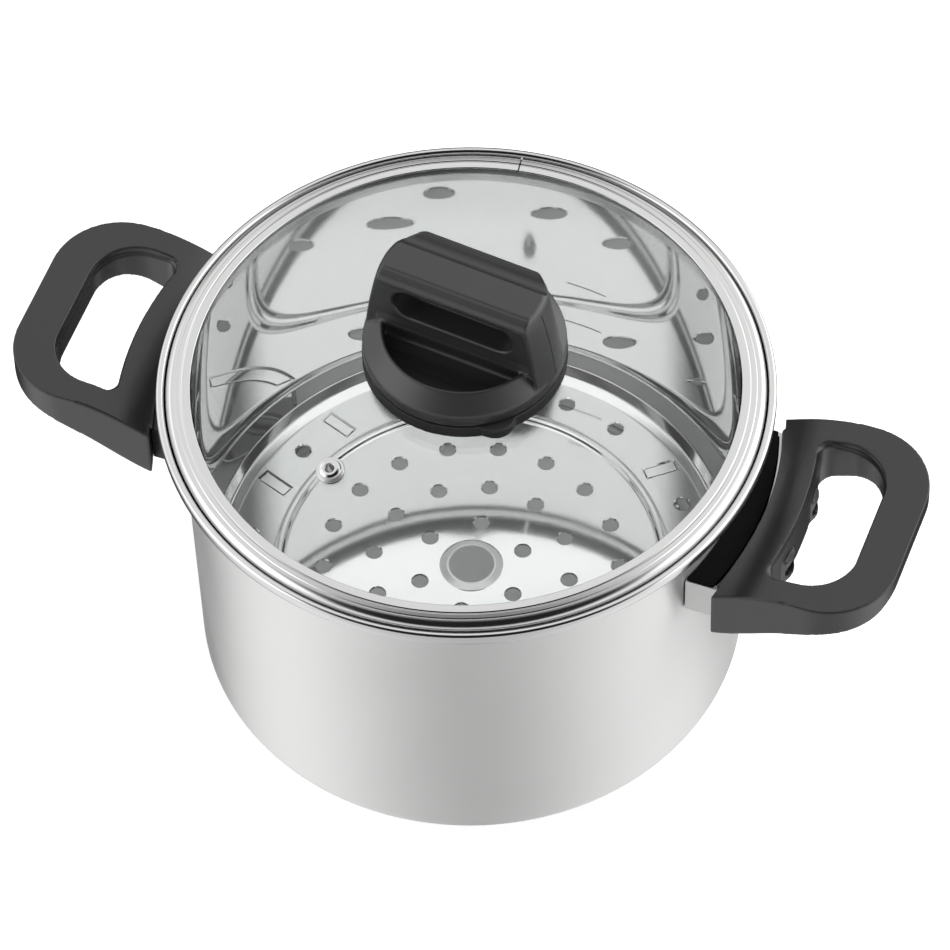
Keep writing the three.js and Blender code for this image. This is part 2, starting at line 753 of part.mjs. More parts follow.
// Steamer legs: a strap under each station, with tabs up in its two slots
const legBottom = floorTop + seat;
const legTop = plateUnder - seat;
const legOuter = slotSide + slotWidth / 2 - seat;
const legOutline = [
  [-legOuter, legTop],
  [-legOuter, legBottom + legSheet],
  [-legOuter + legSheet, legBottom],
  [legOuter - legSheet, legBottom],
  [legOuter, legBottom + legSheet],
  [legOuter, legTop],
  [legOuter - legSheet, legTop],
  [legOuter - legSheet, legBottom + 1.6 * legSheet],
  [legOuter - 1.6 * legSheet, legBottom + legSheet],
  [1.6 * legSheet - legOuter, legBottom + legSheet],
  [legSheet - legOuter, legBottom + 1.6 * legSheet],
  [legSheet - legOuter, legTop],
];
stations.forEach((station, i) => {
  let leg = solid(lengthways(legOutline, legWidth / 2).translate(slotMiddle, 0, 0));
  for (const side of [-slotSide, slotSide]) {
    const low = [slotMiddle - slotLength / 2 + seat, side - slotWidth / 2 + seat, legTop - legSheet / 2];
    const high = [slotMiddle + slotLength / 2 - seat, side + slotWidth / 2 - seat, plateTop + 0.4];
    leg = leg.add(solid(box(low, high)));
  }
  add("steamer_leg_" + (i + 1), leg, polishedSteel, station);
});

export default part;
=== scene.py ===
import bpy
import math
from mathutils import Matrix, Vector


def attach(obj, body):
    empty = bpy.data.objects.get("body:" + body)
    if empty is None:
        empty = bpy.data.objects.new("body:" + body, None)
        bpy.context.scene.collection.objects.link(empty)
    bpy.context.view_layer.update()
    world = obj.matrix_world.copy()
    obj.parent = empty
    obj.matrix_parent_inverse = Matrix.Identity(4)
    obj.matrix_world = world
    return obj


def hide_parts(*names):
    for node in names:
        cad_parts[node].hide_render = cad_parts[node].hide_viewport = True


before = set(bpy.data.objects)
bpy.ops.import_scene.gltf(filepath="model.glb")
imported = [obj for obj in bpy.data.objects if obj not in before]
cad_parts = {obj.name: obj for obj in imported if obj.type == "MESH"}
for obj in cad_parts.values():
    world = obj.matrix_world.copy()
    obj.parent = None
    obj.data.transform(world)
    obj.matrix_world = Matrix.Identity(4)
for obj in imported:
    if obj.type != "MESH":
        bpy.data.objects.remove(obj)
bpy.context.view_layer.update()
scene = bpy.context.scene
scene.view_settings.view_transform = "Standard"
mm = 0.001
print("frame loaded:", len(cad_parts), "nodes")


# Handling of pieces

def clearSelection():
    if bpy.context.mode != "OBJECT":
        bpy.ops.object.mode_set(mode="OBJECT")
    bpy.ops.object.select_all(action="DESELECT")


def pickOnly(piece):
    clearSelection()
    piece.select_set(True)
    bpy.context.view_layer.objects.active = piece
    return piece


def nameIt(piece, name):
    piece.name = name
    piece.data.name = name
    return piece


def drawChain(name, spots):
    # one vertex, pulled on from spot to spot
    clearSelection()
    bpy.ops.mesh.primitive_plane_add(size=0.01)
    piece = nameIt(bpy.context.object, name)
    bpy.ops.object.mode_set(mode="EDIT")
    bpy.ops.mesh.select_all(action="SELECT")
    bpy.ops.mesh.merge(type="CENTER")
    spots = [Vector(spot) * mm for spot in spots]
    bpy.ops.transform.translate(value=spots[0])
    for last, following in zip(spots, spots[1:]):
        bpy.ops.mesh.extrude_region_move(TRANSFORM_OT_translate={"value": following - last})
    return piece


def spinPiece(name, profile, steps):
    piece = drawChain(name, [(r, 0, z) for r, z in profile])
    bpy.ops.mesh.select_all(action="SELECT")
    bpy.ops.mesh.spin(steps=steps, angle=2 * math.pi, center=(0, 0, 0), axis=(0, 0, 1))
    bpy.ops.mesh.select_all(action="SELECT")
    bpy.ops.mesh.remove_doubles(threshold=0.000004)
    bpy.ops.mesh.normals_make_consistent(inside=False)
    bpy.ops.object.mode_set(mode="OBJECT")
    return piece


def pullPrism(name, spots, pull):
    piece = drawChain(name, spots)
    bpy.ops.mesh.select_all(action="SELECT")
    bpy.ops.mesh.edge_face_add()
    bpy.ops.mesh.extrude_region_move(TRANSFORM_OT_translate={"value": Vector(pull) * mm})
    bpy.ops.mesh.select_all(action="SELECT")
    bpy.ops.mesh.normals_make_consistent(inside=False)
    bpy.ops.object.mode_set(mode="OBJECT")
    return piece


def pullUp(name, outline, low, high):
    return pullPrism(name, [(x, y, low) for x, y in outline], (0, 0, high - low))


def pullAcross(name, outline, half):
    return pullPrism(name, [(x, -half, z) for x, z in outline], (0, 2 * half, 0))


def pullAlong(name, outline, half):
    return pullPrism(name, [(-half, y, z) for y, z in outline], (2 * half, 0, 0))


def pullTaper(name, outline, levels):
    # outline pulled up in steps; each level is a height and its share across and along
    low, wide, deep = levels[0]
    piece = drawChain(name, [(x * wide, y * deep, low) for x, y in outline])
    bpy.ops.mesh.select_all(action="SELECT")
    bpy.ops.mesh.edge_face_add()
    for high, nextWide, nextDeep in levels[1:]:
        bpy.ops.mesh.extrude_region_move(TRANSFORM_OT_translate={"value": (0, 0, (high - low) * mm)})
        bpy.ops.transform.resize(value=(nextWide / wide, nextDeep / deep, 1), center_override=(0, 0, 0))
        low, wide, deep = high, nextWide, nextDeep
    bpy.ops.mesh.select_all(action="SELECT")
    bpy.ops.mesh.normals_make_consistent(inside=False)
    bpy.ops.object.mode_set(mode="OBJECT")
    return piece


def carve(piece, tool, way="DIFFERENCE"):
    pickOnly(piece)
    cut = piece.modifiers.new("cut", "BOOLEAN")
    cut.object = tool
    cut.operation = way
    cut.solver = "EXACT"
    bpy.ops.object.modifier_apply(modifier=cut.name)
    bpy.data.objects.remove(tool)
    return piece


def soften(piece, grain, rounds, keep=1.0):
    # one even skin, then its edges rubbed round and its faces thinned
    pickOnly(piece)
    skin = piece.modifiers.new("skin", "REMESH")
    skin.mode = "VOXEL"
    skin.voxel_size = grain * mm
    bpy.ops.object.modifier_apply(modifier=skin.name)
    rub = piece.modifiers.new("rub", "SMOOTH")
    rub.factor = 0.5
    rub.iterations = rounds
    bpy.ops.object.modifier_apply(modifier=rub.name)
    if keep < 1:
        thin = piece.modifiers.new("thin", "DECIMATE")
        thin.ratio = keep
        bpy.ops.object.modifier_apply(modifier=thin.name)
    bpy.ops.object.shade_smooth()
    return piece


def breakEdges(piece, width, segments=2, angle=40):
    pickOnly(piece)
    edge = piece.modifiers.new("edge", "BEVEL")
    edge.width = width * mm
    edge.segments = segments
    edge.limit_method = "ANGLE"
    edge.angle_limit = math.radians(angle)
    bpy.ops.object.modifier_apply(modifier=edge.name)
    return piece


def evenShade(piece, angle=35):
    pickOnly(piece)
    bpy.ops.object.shade_smooth_by_angle(angle=math.radians(angle))
    even = piece.modifiers.new("even", "WEIGHTED_NORMAL")
    even.keep_sharp = True
    bpy.ops.object.modifier_apply(modifier=even.name)
    return piece


def settle(piece, place):
    pickOnly(piece)
    piece.matrix_world = place
    bpy.ops.object.transform_apply(location=True, rotation=True, scale=True)
    return piece


def turnPiece(piece, angle):
    return settle(piece, Matrix.Rotation(math.radians(angle), 4, "Z"))


def turnOut(piece, angle, x, y=0):
    # set off from the axis, then turned round it
    spin = Matrix.Rotation(math.radians(angle), 4, "Z")
    return settle(piece, spin @ Matrix.Translation((x * mm, y * mm, 0)))


def copyPiece(piece, name, angle=0):
    pickOnly(piece)
    bpy.ops.object.duplicate(linked=False)
    return turnPiece(nameIt(bpy.context.object, name), angle)


def joinPieces(pieces):
    clearSelection()
    for piece in pieces:
        piece.select_set(True)
    bpy.context.view_layer.objects.active = pieces[0]
    bpy.ops.object.join()
    return pieces[0]


def fitPiece(piece, node, body, slot, *finishes):
    piece.data.materials.clear()
    for finish in finishes:
        piece.data.materials.append(finish)
    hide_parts(node)
    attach(piece, body)


def paintNode(node, finish):
    # a CAD node that stays as it is
    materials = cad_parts[node].data.materials
    materials.clear()
    materials.append(finish)


# Drawing of outlines

def arcSpots(x, y, radius, start, stop, steps=14):
    turns = [math.radians(start + (stop - start) * i / steps) for i in range(steps + 1)]
    return [(x + radius * math.cos(turn), y + radius * math.sin(turn)) for turn in turns]


def circle(radius, count=24, x=0):
    return arcSpots(x, 0, radius, 0, 360 - 360 / count, count - 1)


def ringArc(radius, start, stop, steps):
    return arcSpots(0, 0, radius, start, stop, steps)


def boxSpots(a, b, y=0):
    return [(-a, y - b), (a, y - b), (a, y + b), (-a, y + b)]


def roundCorners(profile, stepAngle=12):
    # each spot is across, up and the radius of its corner
    line = []
    for i, (x, z, radius) in enumerate(profile):
        if radius == 0 or i in (0, len(profile) - 1):
            line.append((x, z))
            continue
        here = Vector((x, z))
        back = (Vector(profile[i - 1][:2]) - here).normalized()
        ahead = (Vector(profile[i + 1][:2]) - here).normalized()
        opening = math.acos(max(-1, min(1, back.dot(ahead))))
        reach = radius / math.tan(opening / 2)
        middle = here + (back + ahead).normalized() * radius / math.sin(opening / 2)
        first = here + back * reach - middle
        bend = math.pi - opening
        way = 1 if back.cross(ahead) < 0 else -1
        count = max(2, round(math.degrees(bend) / stepAngle))
        for k in range(count + 1):
            turn = way * bend * k / count
            line.append((
                middle.x + first.x * math.cos(turn) - first.y * math.sin(turn),
                middle.y + first.x * math.sin(turn) + first.y * math.cos(turn),
            ))
    return line


def cutCorners(line, rounds=3):
    for _ in range(rounds):
        fine = [line[0]]
        for (ax, az), (bx, bz) in zip(line, line[1:]):
            fine.append((0.75 * ax + 0.25 * bx, 0.75 * az + 0.25 * bz))
            fine.append((0.25 * ax + 0.75 * bx, 0.25 * az + 0.75 * bz))
        line = fine + [line[-1]]
    return line


# Camera at the photograph's viewing angle
cameraSetup = {
    "spot": (542.05, -1372.37, 2061.60),
    "right": (0.93867, 0.34440, -0.01714),
    "up": (-0.26581, 0.75435, 0.60025),
    "lens": 236.38,
    "sensor": 36,
    "clipEnd": 50,
}


def setCamera():
    clearSelection()
    bpy.ops.object.camera_add()
    camera = bpy.context.object
    right = Vector(cameraSetup["right"]).normalized()
    up = Vector(cameraSetup["up"]).normalized()
    back = right.cross(up)
    turn = Matrix((right, up, back)).transposed().to_4x4()
    camera.matrix_world = Matrix.Translation(Vector(cameraSetup["spot"]) * mm) @ turn
    camera.data.lens = cameraSetup["lens"]
    camera.data.sensor_width = cameraSetup["sensor"]
    camera.data.clip_end = cameraSetup["clipEnd"]
    scene.camera = camera


setCamera()
print("camera set")


# Shared effects, as node groups

def addNode(tree, kind, **inputs):
    node = tree.nodes.new(kind)
    for name, value in inputs.items():
        node.inputs[name].default_value = value
    return node


def mathNode(tree, way, first, second=None, third=None):
    node = tree.nodes.new("ShaderNodeMath")
    node.operation = way
    for socket, value in zip(node.inputs, (first, second, third)):
        if value is None:
            continue
        if isinstance(value, (int, float)):
            socket.default_value = value
        else:
            tree.links.new(value, socket)
    return node.outputs[0]


def startGroup(name, inputs, outputs):
    group = bpy.data.node_groups.new(name, "ShaderNodeTree")
    for label, kind, value in inputs:
        socket = group.interface.new_socket(name=label, in_out="INPUT", socket_type=kind)
        if value is not None:
            socket.default_value = value
    for label in outputs:
        group.interface.new_socket(name=label, in_out="OUTPUT", socket_type="NodeSocketFloat")
    return group, group.nodes.new("NodeGroupInput").outputs, group.nodes.new("NodeGroupOutput").inputs


def ringLinesGroup():
    # fine lines left by turning, all the way round the axis
    group, given, out = startGroup("ringLines", [
        ("Spot", "NodeSocketVector", None),
        ("Density", "NodeSocketFloat", 2500.0),
    ], ["Lines"])
    parts = group.nodes.new("ShaderNodeSeparateXYZ")
    group.links.new(given["Spot"], parts.inputs[0])
    across = mathNode(group, "POWER", parts.outputs["X"], 2.0)
    along = mathNode(group, "POWER", parts.outputs["Y"], 2.0)
    radius = mathNode(group, "SQRT", mathNode(group, "ADD", across, along))
    turn = mathNode(group, "ARCTAN2", parts.outputs["Y"], parts.outputs["X"])
    spread = group.nodes.new("ShaderNodeCombineXYZ")
    group.links.new(mathNode(group, "MULTIPLY", radius, given["Density"]), spread.inputs["X"])
    group.links.new(mathNode(group, "MULTIPLY", parts.outputs["Z"], given["Density"]), spread.inputs["Y"])
    group.links.new(mathNode(group, "MULTIPLY", turn, 3.0), spread.inputs["Z"])
    noise = addNode(group, "ShaderNodeTexNoise", Scale=1.0, Detail=3.0, Roughness=0.6)
    group.links.new(spread.outputs[0], noise.inputs["Vector"])
    group.links.new(noise.outputs["Fac"], out["Lines"])
    return group


def smudgeGroup():
    # broad handling marks
    group, given, out = startGroup("smudges", [
        ("Spot", "NodeSocketVector", None),
        ("Scale", "NodeSocketFloat", 30.0),
        ("Low", "NodeSocketFloat", 0.1),
        ("High", "NodeSocketFloat", 0.2),
    ], ["Value"])
    noise = addNode(group, "ShaderNodeTexNoise", Detail=4.0, Roughness=0.55, Distortion=0.6)
    group.links.new(given["Spot"], noise.inputs["Vector"])
    group.links.new(given["Scale"], noise.inputs["Scale"])
    fit = group.nodes.new("ShaderNodeMapRange")
    fit.inputs["From Min"].default_value = 0.3
    fit.inputs["From Max"].default_value = 0.7
    group.links.new(noise.outputs["Fac"], fit.inputs["Value"])
    group.links.new(given["Low"], fit.inputs["To Min"])
    group.links.new(given["High"], fit.inputs["To Max"])
    group.links.new(fit.outputs["Result"], out["Value"])
    return group


def mouldGrainGroup():
    # spark-eroded skin of a moulded piece
    group, given, out = startGroup("mouldGrain", [
        ("Spot", "NodeSocketVector", None),
        ("Scale", "NodeSocketFloat", 2600.0),
    ], ["Grain", "Tone"])
    fine = addNode(group, "ShaderNodeTexNoise", Detail=2.0, Roughness=0.5)
    group.links.new(given["Spot"], fine.inputs["Vector"])
    group.links.new(given["Scale"], fine.inputs["Scale"])
    broad = addNode(group, "ShaderNodeTexNoise", Scale=45.0, Detail=3.0, Roughness=0.5)
    group.links.new(given["Spot"], broad.inputs["Vector"])
    group.links.new(fine.outputs["Fac"], out["Grain"])
    group.links.new(broad.outputs["Fac"], out["Tone"])
    return group


def wallMarkGroup():
    # one short level line, given by its height, angle and length
    group, given, out = startGroup("wallMark", [
        ("Spot", "NodeSocketVector", None),
        ("Height", "NodeSocketFloat", 0.08),
        ("Turn", "NodeSocketFloat", 1.5),
        ("Half", "NodeSocketFloat", 0.05),
        ("Width", "NodeSocketFloat", 0.0004),
    ], ["Mask"])
    parts = group.nodes.new("ShaderNodeSeparateXYZ")
    group.links.new(given["Spot"], parts.inputs[0])
    turn = mathNode(group, "ARCTAN2", parts.outputs["Y"], parts.outputs["X"])
    level = mathNode(group, "COMPARE", parts.outputs["Z"], given["Height"], given["Width"])
    within = mathNode(group, "COMPARE", turn, given["Turn"], given["Half"])
    group.links.new(mathNode(group, "MULTIPLY", level, within), out["Mask"])
    return group


ringLines = ringLinesGroup()
smudges = smudgeGroup()
mouldGrain = mouldGrainGroup()
wallMark = wallMarkGroup()


# Finishes
finishSetup = {
    "lineDepth": 0.00002,
    "grainDepth": 0.00004,
    "stretchTurn": 0.25,
    "markTone": (0.09, 0.09, 0.09, 1),
    "markWidth": 0.0004,
    "markHalf": math.radians(4.5),
}


def startFinish(name):
    finish = bpy.data.materials.new(name)
    finish.use_nodes = True
    tree = finish.node_tree
    shader = tree.nodes["Principled BSDF"]
    spot = tree.nodes.new("ShaderNodeTexCoord").outputs["Object"]
    return finish, tree, shader, spot


def placeGroup(tree, group, spot, **inputs):
    node = tree.nodes.new("ShaderNodeGroup")
    node.node_tree = group
    tree.links.new(spot, node.inputs["Spot"])
    for name, value in inputs.items():
        node.inputs[name].default_value = value
    return node.outputs


def blendTones(tree, share, first, second):
    mix = tree.nodes.new("ShaderNodeMix")
    mix.data_type = "RGBA"
    mix.inputs["A"].default_value = (*first, 1)
    mix.inputs["B"].default_value = (*second, 1)
    tree.links.new(share, mix.inputs["Factor"])
    return mix.outputs["Result"]


def bumpFrom(tree, shader, height, strength, distance):
    bump = tree.nodes.new("ShaderNodeBump")
    bump.inputs["Strength"].default_value = strength
    bump.inputs["Distance"].default_value = distance
    tree.links.new(height, bump.inputs["Height"])
    tree.links.new(bump.outputs["Normal"], shader.inputs["Normal"])


def steelFinish(name, look):
    finish, tree, shader, spot = startFinish(name)
    lines = placeGroup(tree, ringLines, spot, Density=look["density"])["Lines"]
    rough = placeGroup(tree, smudges, spot, Scale=look["smudge"], Low=look["low"], High=look["high"])["Value"]
    tone = blendTones(tree, lines, look["dark"], look["light"])
    shader.inputs["Metallic"].default_value = look.get("metal", 1.0)
    tree.links.new(tone, shader.inputs["Base Color"])
    tree.links.new(rough, shader.inputs["Roughness"])
    if look["depth"]:
        bumpFrom(tree, shader, lines, look["depth"], finishSetup["lineDepth"])
    if look.get("stretch"):
        shader.inputs["Anisotropic"].default_value = look["stretch"]
        shader.inputs["Anisotropic Rotation"].default_value = finishSetup["stretchTurn"]
        tangent = tree.nodes.new("ShaderNodeTangent")
        tangent.direction_type = "RADIAL"
        tangent.axis = "Z"
        tree.links.new(tangent.outputs["Tangent"], shader.inputs["Tangent"])
    return finish


satinSteel = steelFinish("satinSteel", {
    "dark": (0.70, 0.70, 0.695), "light": (0.74, 0.74, 0.735), "density": 3000.0,
    "smudge": 14.0, "low": 0.36, "high": 0.40, "depth": 0.03, "stretch": 0.9,
})
mirrorSteel = steelFinish("mirrorSteel", {
    "dark": (0.70, 0.705, 0.705), "light": (0.73, 0.735, 0.735), "density": 2200.0,
    "smudge": 22.0, "low": 0.02, "high": 0.035, "depth": 0,
})
polishedSteel = steelFinish("polishedSteel", {
    "dark": (0.60, 0.60, 0.60), "light": (0.64, 0.64, 0.635), "density": 2600.0,
    "smudge": 26.0, "low": 0.13, "high": 0.17, "depth": 0.03,
})
plateSteel = steelFinish("plateSteel", {
    "dark": (0.70, 0.705, 0.705), "light": (0.73, 0.73, 0.73), "density": 1800.0,
    "smudge": 18.0, "low": 0.05, "high": 0.07, "depth": 0,
})
# whiter, partly matt copy of the plate steel for the finger lip: painted light, so the lip reads bright
lipPaintedLightSteel = steelFinish("lipPaintedLightSteel", {
    "dark": (0.92, 0.925, 0.925), "light": (0.96, 0.96, 0.96), "density": 1800.0,
    "smudge": 30.0, "low": 0.34, "high": 0.40, "depth": 0, "metal": 0.4,
})
floorSteel = steelFinish("floorSteel", {
    "dark": (0.78, 0.785, 0.785), "light": (0.84, 0.84, 0.84), "density": 1500.0,
    "smudge": 20.0, "low": 0.45, "high": 0.55, "depth": 0.03, "metal": 0.2,
})
bracketSteel = steelFinish("bracketSteel", {
    "dark": (0.48, 0.48, 0.475), "light": (0.54, 0.54, 0.535), "density": 1600.0,
    "smudge": 40.0, "low": 0.28, "high": 0.36, "depth": 0.08,
})
# near-black steel for the bracket screws; on the left strap it is painted shade, a darkened copy of the right
# strap's steel
blackSteelAndPaintedShade = steelFinish("blackSteelAndPaintedShade", {
    "dark": (0.035, 0.035, 0.037), "light": (0.06, 0.06, 0.062), "density": 1500.0,
    "smudge": 60.0, "low": 0.35, "high": 0.45, "depth": 0.05,
})
zincSteel = steelFinish("zincSteel", {
    "dark": (0.50, 0.51, 0.52), "light": (0.60, 0.61, 0.62), "density": 1500.0,
    "smudge": 220.0, "low": 0.3, "high": 0.42, "depth": 0.1,
})
aluminium = steelFinish("aluminium", {
    "dark": (0.60, 0.61, 0.62), "light": (0.68, 0.69, 0.70), "density": 1200.0,
    "smudge": 35.0, "low": 0.4, "high": 0.5, "depth": 0.1,
})
brass = steelFinish("brass", {
    "dark": (0.55, 0.40, 0.14), "light": (0.66, 0.50, 0.20), "density": 1500.0,
    "smudge": 200.0, "low": 0.28, "high": 0.4, "depth": 0.1,
})


def markInside(finish, marks):
    # level lines on the inner wall, each by its height and angle
    tree = finish.node_tree
    shader = tree.nodes["Principled BSDF"]
    spot = next(node for node in tree.nodes if node.type == "TEX_COORD").outputs["Object"]
    size = {"Half": finishSetup["markHalf"], "Width": finishSetup["markWidth"]}
    masks = [placeGroup(tree, wallMark, spot, Height=z, Turn=math.radians(t), **size)["Mask"] for z, t in marks]
    mask = masks[0]
    for other in masks[1:]:
        mask = mathNode(tree, "MAXIMUM", mask, other)
    tone = shader.inputs["Base Color"].links[0].from_socket
    mix = tree.nodes.new("ShaderNodeMix")
    mix.data_type = "RGBA"
    mix.inputs["B"].default_value = finishSetup["markTone"]
    tree.links.new(mask, mix.inputs["Factor"])
    tree.links.new(tone, mix.inputs["A"])
    tree.links.new(mix.outputs["Result"], shader.inputs["Base Color"])


markInside(mirrorSteel, [(0.089, 84.5), (0.065, 85.5)])


def mouldedFinish(name, look):
    finish, tree, shader, spot = startFinish(name)
    grain = placeGroup(tree, mouldGrain, spot, Scale=look["grain"])
    rough = placeGroup(tree, smudges, spot, Scale=look["smudge"], Low=look["low"], High=look["high"])["Value"]
    tone = blendTones(tree, grain["Tone"], look["dark"], look["light"])
    tree.links.new(tone, shader.inputs["Base Color"])
    tree.links.new(rough, shader.inputs["Roughness"])
    shader.inputs["IOR"].default_value = look["ior"]
    bumpFrom(tree, shader, grain["Grain"], look["depth"], finishSetup["grainDepth"])
    return finish


plasticLook = {
    "dark": (0.013, 0.013, 0.0135), "light": (0.018, 0.018, 0.0185), "grain": 2600.0,
    "smudge": 30.0, "low": 0.29, "high": 0.34, "ior": 1.55, "depth": 0.1,
}
darkPlastic = mouldedFinish("darkPlastic", plasticLook)
# a lighter copy of the handle plastic for the knob: painted light, so the knob reads brighter than the handles
knobPaintedLightPlastic = mouldedFinish("knobPaintedLightPlastic", {
    **plasticLook, "dark": (0.017, 0.017, 0.0175), "light": (0.022, 0.022, 0.0225),
    "low": 0.37, "high": 0.42, "ior": 1.64,
})
# near-black, matt plastic for the spacers: painted shade, standing for the dark void inside the straps
paintedShadeBlack = mouldedFinish("paintedShadeBlack", {
    "dark": (0.002, 0.002, 0.002), "light": (0.004, 0.004, 0.004), "grain": 1800.0,
    "smudge": 40.0, "low": 0.7, "high": 0.8, "ior": 1.2, "depth": 0.1,
})
darkRubber = mouldedFinish("darkRubber", {
    "dark": (0.012, 0.012, 0.012), "light": (0.018, 0.018, 0.018), "grain": 1800.0,
    "smudge": 40.0, "low": 0.55, "high": 0.65, "ior": 1.45, "depth": 0.1,
})
greySilicone = mouldedFinish("greySilicone", {
    "dark": (0.30, 0.31, 0.31), "light": (0.36, 0.37, 0.37), "grain": 1600.0,
    "smudge": 30.0, "low": 0.5, "high": 0.6, "ior": 1.42, "depth": 0.06,
})


def glassFinish():
    finish, tree, shader, spot = startFinish("clearGlass")
    haze = placeGroup(tree, smudges, spot, Scale=16.0, Low=0.0, High=0.012)["Value"]
    cloud = placeGroup(tree, smudges, spot, Scale=9.0, Low=0.0, High=1.0)["Value"]
    tone = blendTones(tree, cloud, (0.965, 0.98, 0.975), (0.985, 0.99, 0.988))
    tree.links.new(tone, shader.inputs["Base Color"])
    tree.links.new(haze, shader.inputs["Roughness"])
    shader.inputs["Transmission Weight"].default_value = 1.0
    shader.inputs["IOR"].default_value = 1.46
    return finish


clearGlass = glassFinish()
print("finishes ready")


# Pot body: satin outside, mirror finish inside, polished rim
potSetup = {
    "profile": [
        (0, 5.3, 0), (108.8, 5.3, 9.2), (111, 142.4, 6), (117, 146.4, 3), (120.2, 151, 3),
        (120.2, 155.1, 1.6), (116.9, 155.1, 1.6), (116.9, 147.8, 0.6), (110, 147.8, 1.3),
        (107.8, 6.3, 8.2), (0, 6.3, 0),
    ],
    "steps": 160,
    "rimFrom": 143.5,
    "floorTo": 6.8,
    "insideRadius": 110.4,
    "insideAim": -60,
}


def makePot():
    piece = spinPiece("potShell", roundCorners(potSetup["profile"], 8), potSetup["steps"])
    evenShade(piece, 40)
    fitPiece(piece, "pot_body", "pot", "satin_steel", satinSteel, mirrorSteel, polishedSteel, floorSteel)
    for face in piece.data.polygons:
        middle = face.center / mm
        radius = math.hypot(middle.x, middle.y)
        inward = face.normal.dot(Vector((middle.x, middle.y, potSetup["insideAim"]))) < 0
        if middle.z > potSetup["rimFrom"]:
            face.material_index = 2
        elif radius < potSetup["insideRadius"] and inward:
            face.material_index = 3 if middle.z < potSetup["floorTo"] else 1


makePot()
print("pot body made")


# Base: steel cup under the floor; the disc inside it stays as it is
baseSetup = {
    "profile": [
        (0, 0.35, 0), (30, 0.35, 6), (34, 0, 6), (99, 0, 1.8), (99, 5, 0.3), (98.2, 5, 0.3),
        (98.2, 0.8, 1.0), (0, 0.8, 0),
    ],
    "steps": 128,
}


def makeBase():
    piece = spinPiece("baseCup", roundCorners(baseSetup["profile"]), baseSetup["steps"])
    evenShade(piece)
    fitPiece(piece, "base_cap", "pot", "satin_steel", bracketSteel)
    paintNode("base_core", aluminium)


makeBase()
print("base made")


# Lid: domed glass in a crimped band
lidSetup = {
    "sphere": 310.06,
    "crown": 175.3,
    "thickness": 4.0,
    "edgeRadius": 113.95,
    "domeRadius": 111.65,
    "bore": 4.5,
    "stations": 30,
    "steps": 160,
    "ventRadius": 71.5,
    "ventAngle": -115.6,
    "ventBore": 3.3,
    "ventDrill": (-9, 6),
    "edgeBend": 1.2,
    "band": [
        (109.5, 146.2, 0), (109.5, 148.1, 0.35), (116.55, 148.1, 0.8), (116.55, 155.95, 3.7),
        (113.1, 156.8, 0.2), (112.75, 156.66, 0.2), (112.4, 156.98, 0.2),
        (110.9, 157.35, 0.4), (110.35, 157.1, 0.3), (109.8, 157.35, 0.4), (106.75, 157.75, 0.38),
        (106.55, 156.95, 0.38), (109.7, 156.5, 0.5), (110.4, 156.3, 0.3), (110.9, 156.5, 0.5),
        (115.75, 155.3, 2.9), (115.75, 148.9, 0.35), (108.7, 148.9, 0.3), (108.7, 144.3, 0.35),
        (109.5, 144.3, 0.35), (109.5, 146.2, 0),
    ],
    "seamAngle": 99.0,
    "seamSlit": [(104, -0.3), (116.9, -0.3), (116.9, 0.3), (104, 0.3)],
    "seamRange": (155.2, 159),
    "sealSteps": 96,
    "seal": [
        (111, 149.2, 0), (115.45, 149.2, 0.3), (115.45, 155.0, 2.4), (112.85, 155.45, 0.05),
        (112.85, 154.8, 0.3), (114.25, 154.8, 0.2), (114.25, 150.2, 0.2), (108.65, 150.2, 0.3),
        (108.65, 149.2, 0.3), (111, 149.2, 0),
    ],
}


def domeTop(radius):
    sphere = lidSetup["sphere"]
    return lidSetup["crown"] - sphere + math.sqrt(sphere ** 2 - radius ** 2)


def onVent():
    angle = math.radians(lidSetup["ventAngle"])
    tilt = math.asin(lidSetup["ventRadius"] / lidSetup["sphere"])
    spot = Vector((lidSetup["ventRadius"], 0, domeTop(lidSetup["ventRadius"]))) * mm
    return Matrix.Rotation(angle, 4, "Z") @ Matrix.Translation(spot) @ Matrix.Rotation(tilt, 4, "Y")


def makeLid():
    bore, dome, edge = lidSetup["bore"], lidSetup["domeRadius"], lidSetup["edgeRadius"]
    thick, count = lidSetup["thickness"], lidSetup["stations"]
    radii = [bore + (dome - bore) * i / count for i in range(count + 1)]
    top = [(r, domeTop(r)) for r in radii]
    high = domeTop(dome)
    bend = lidSetup["edgeBend"]
    rim = roundCorners([
        (dome, high, 0), (edge, high, bend), (edge, high - thick, bend), (dome, high - thick, 0),
    ], 15)
    under = [(r, z - thick) for r, z in reversed(top)]
    profile = top + rim[1:-1] + under + [top[0]]
    glass = spinPiece("lidGlass", profile, lidSetup["steps"])
    wide, (deep, above) = lidSetup["ventBore"], lidSetup["ventDrill"]
    drill = spinPiece("ventDrill", [(0, deep), (wide, deep), (wide, above), (0, above)], 32)
    carve(glass, settle(drill, onVent()))
    evenShade(glass, 40)
    glass.visible_shadow = False
    fitPiece(glass, "lid_glass", "lid", "clear_glass", clearGlass)
    band = spinPiece("lidBand", roundCorners(lidSetup["band"], 8), lidSetup["steps"])
    seam = pullUp("seamSlit", lidSetup["seamSlit"], *lidSetup["seamRange"])
    carve(band, turnPiece(seam, lidSetup["seamAngle"]))
    evenShade(band, 40)
    fitPiece(band, "lid_band", "lid", "polished_steel", polishedSteel)
    seal = spinPiece("lidSeal", roundCorners(lidSetup["seal"], 30), lidSetup["sealSteps"])
    evenShade(seal)
    fitPiece(seal, "lid_seal", "lid", "grey_silicone", greySilicone)


makeLid()
print("lid made")


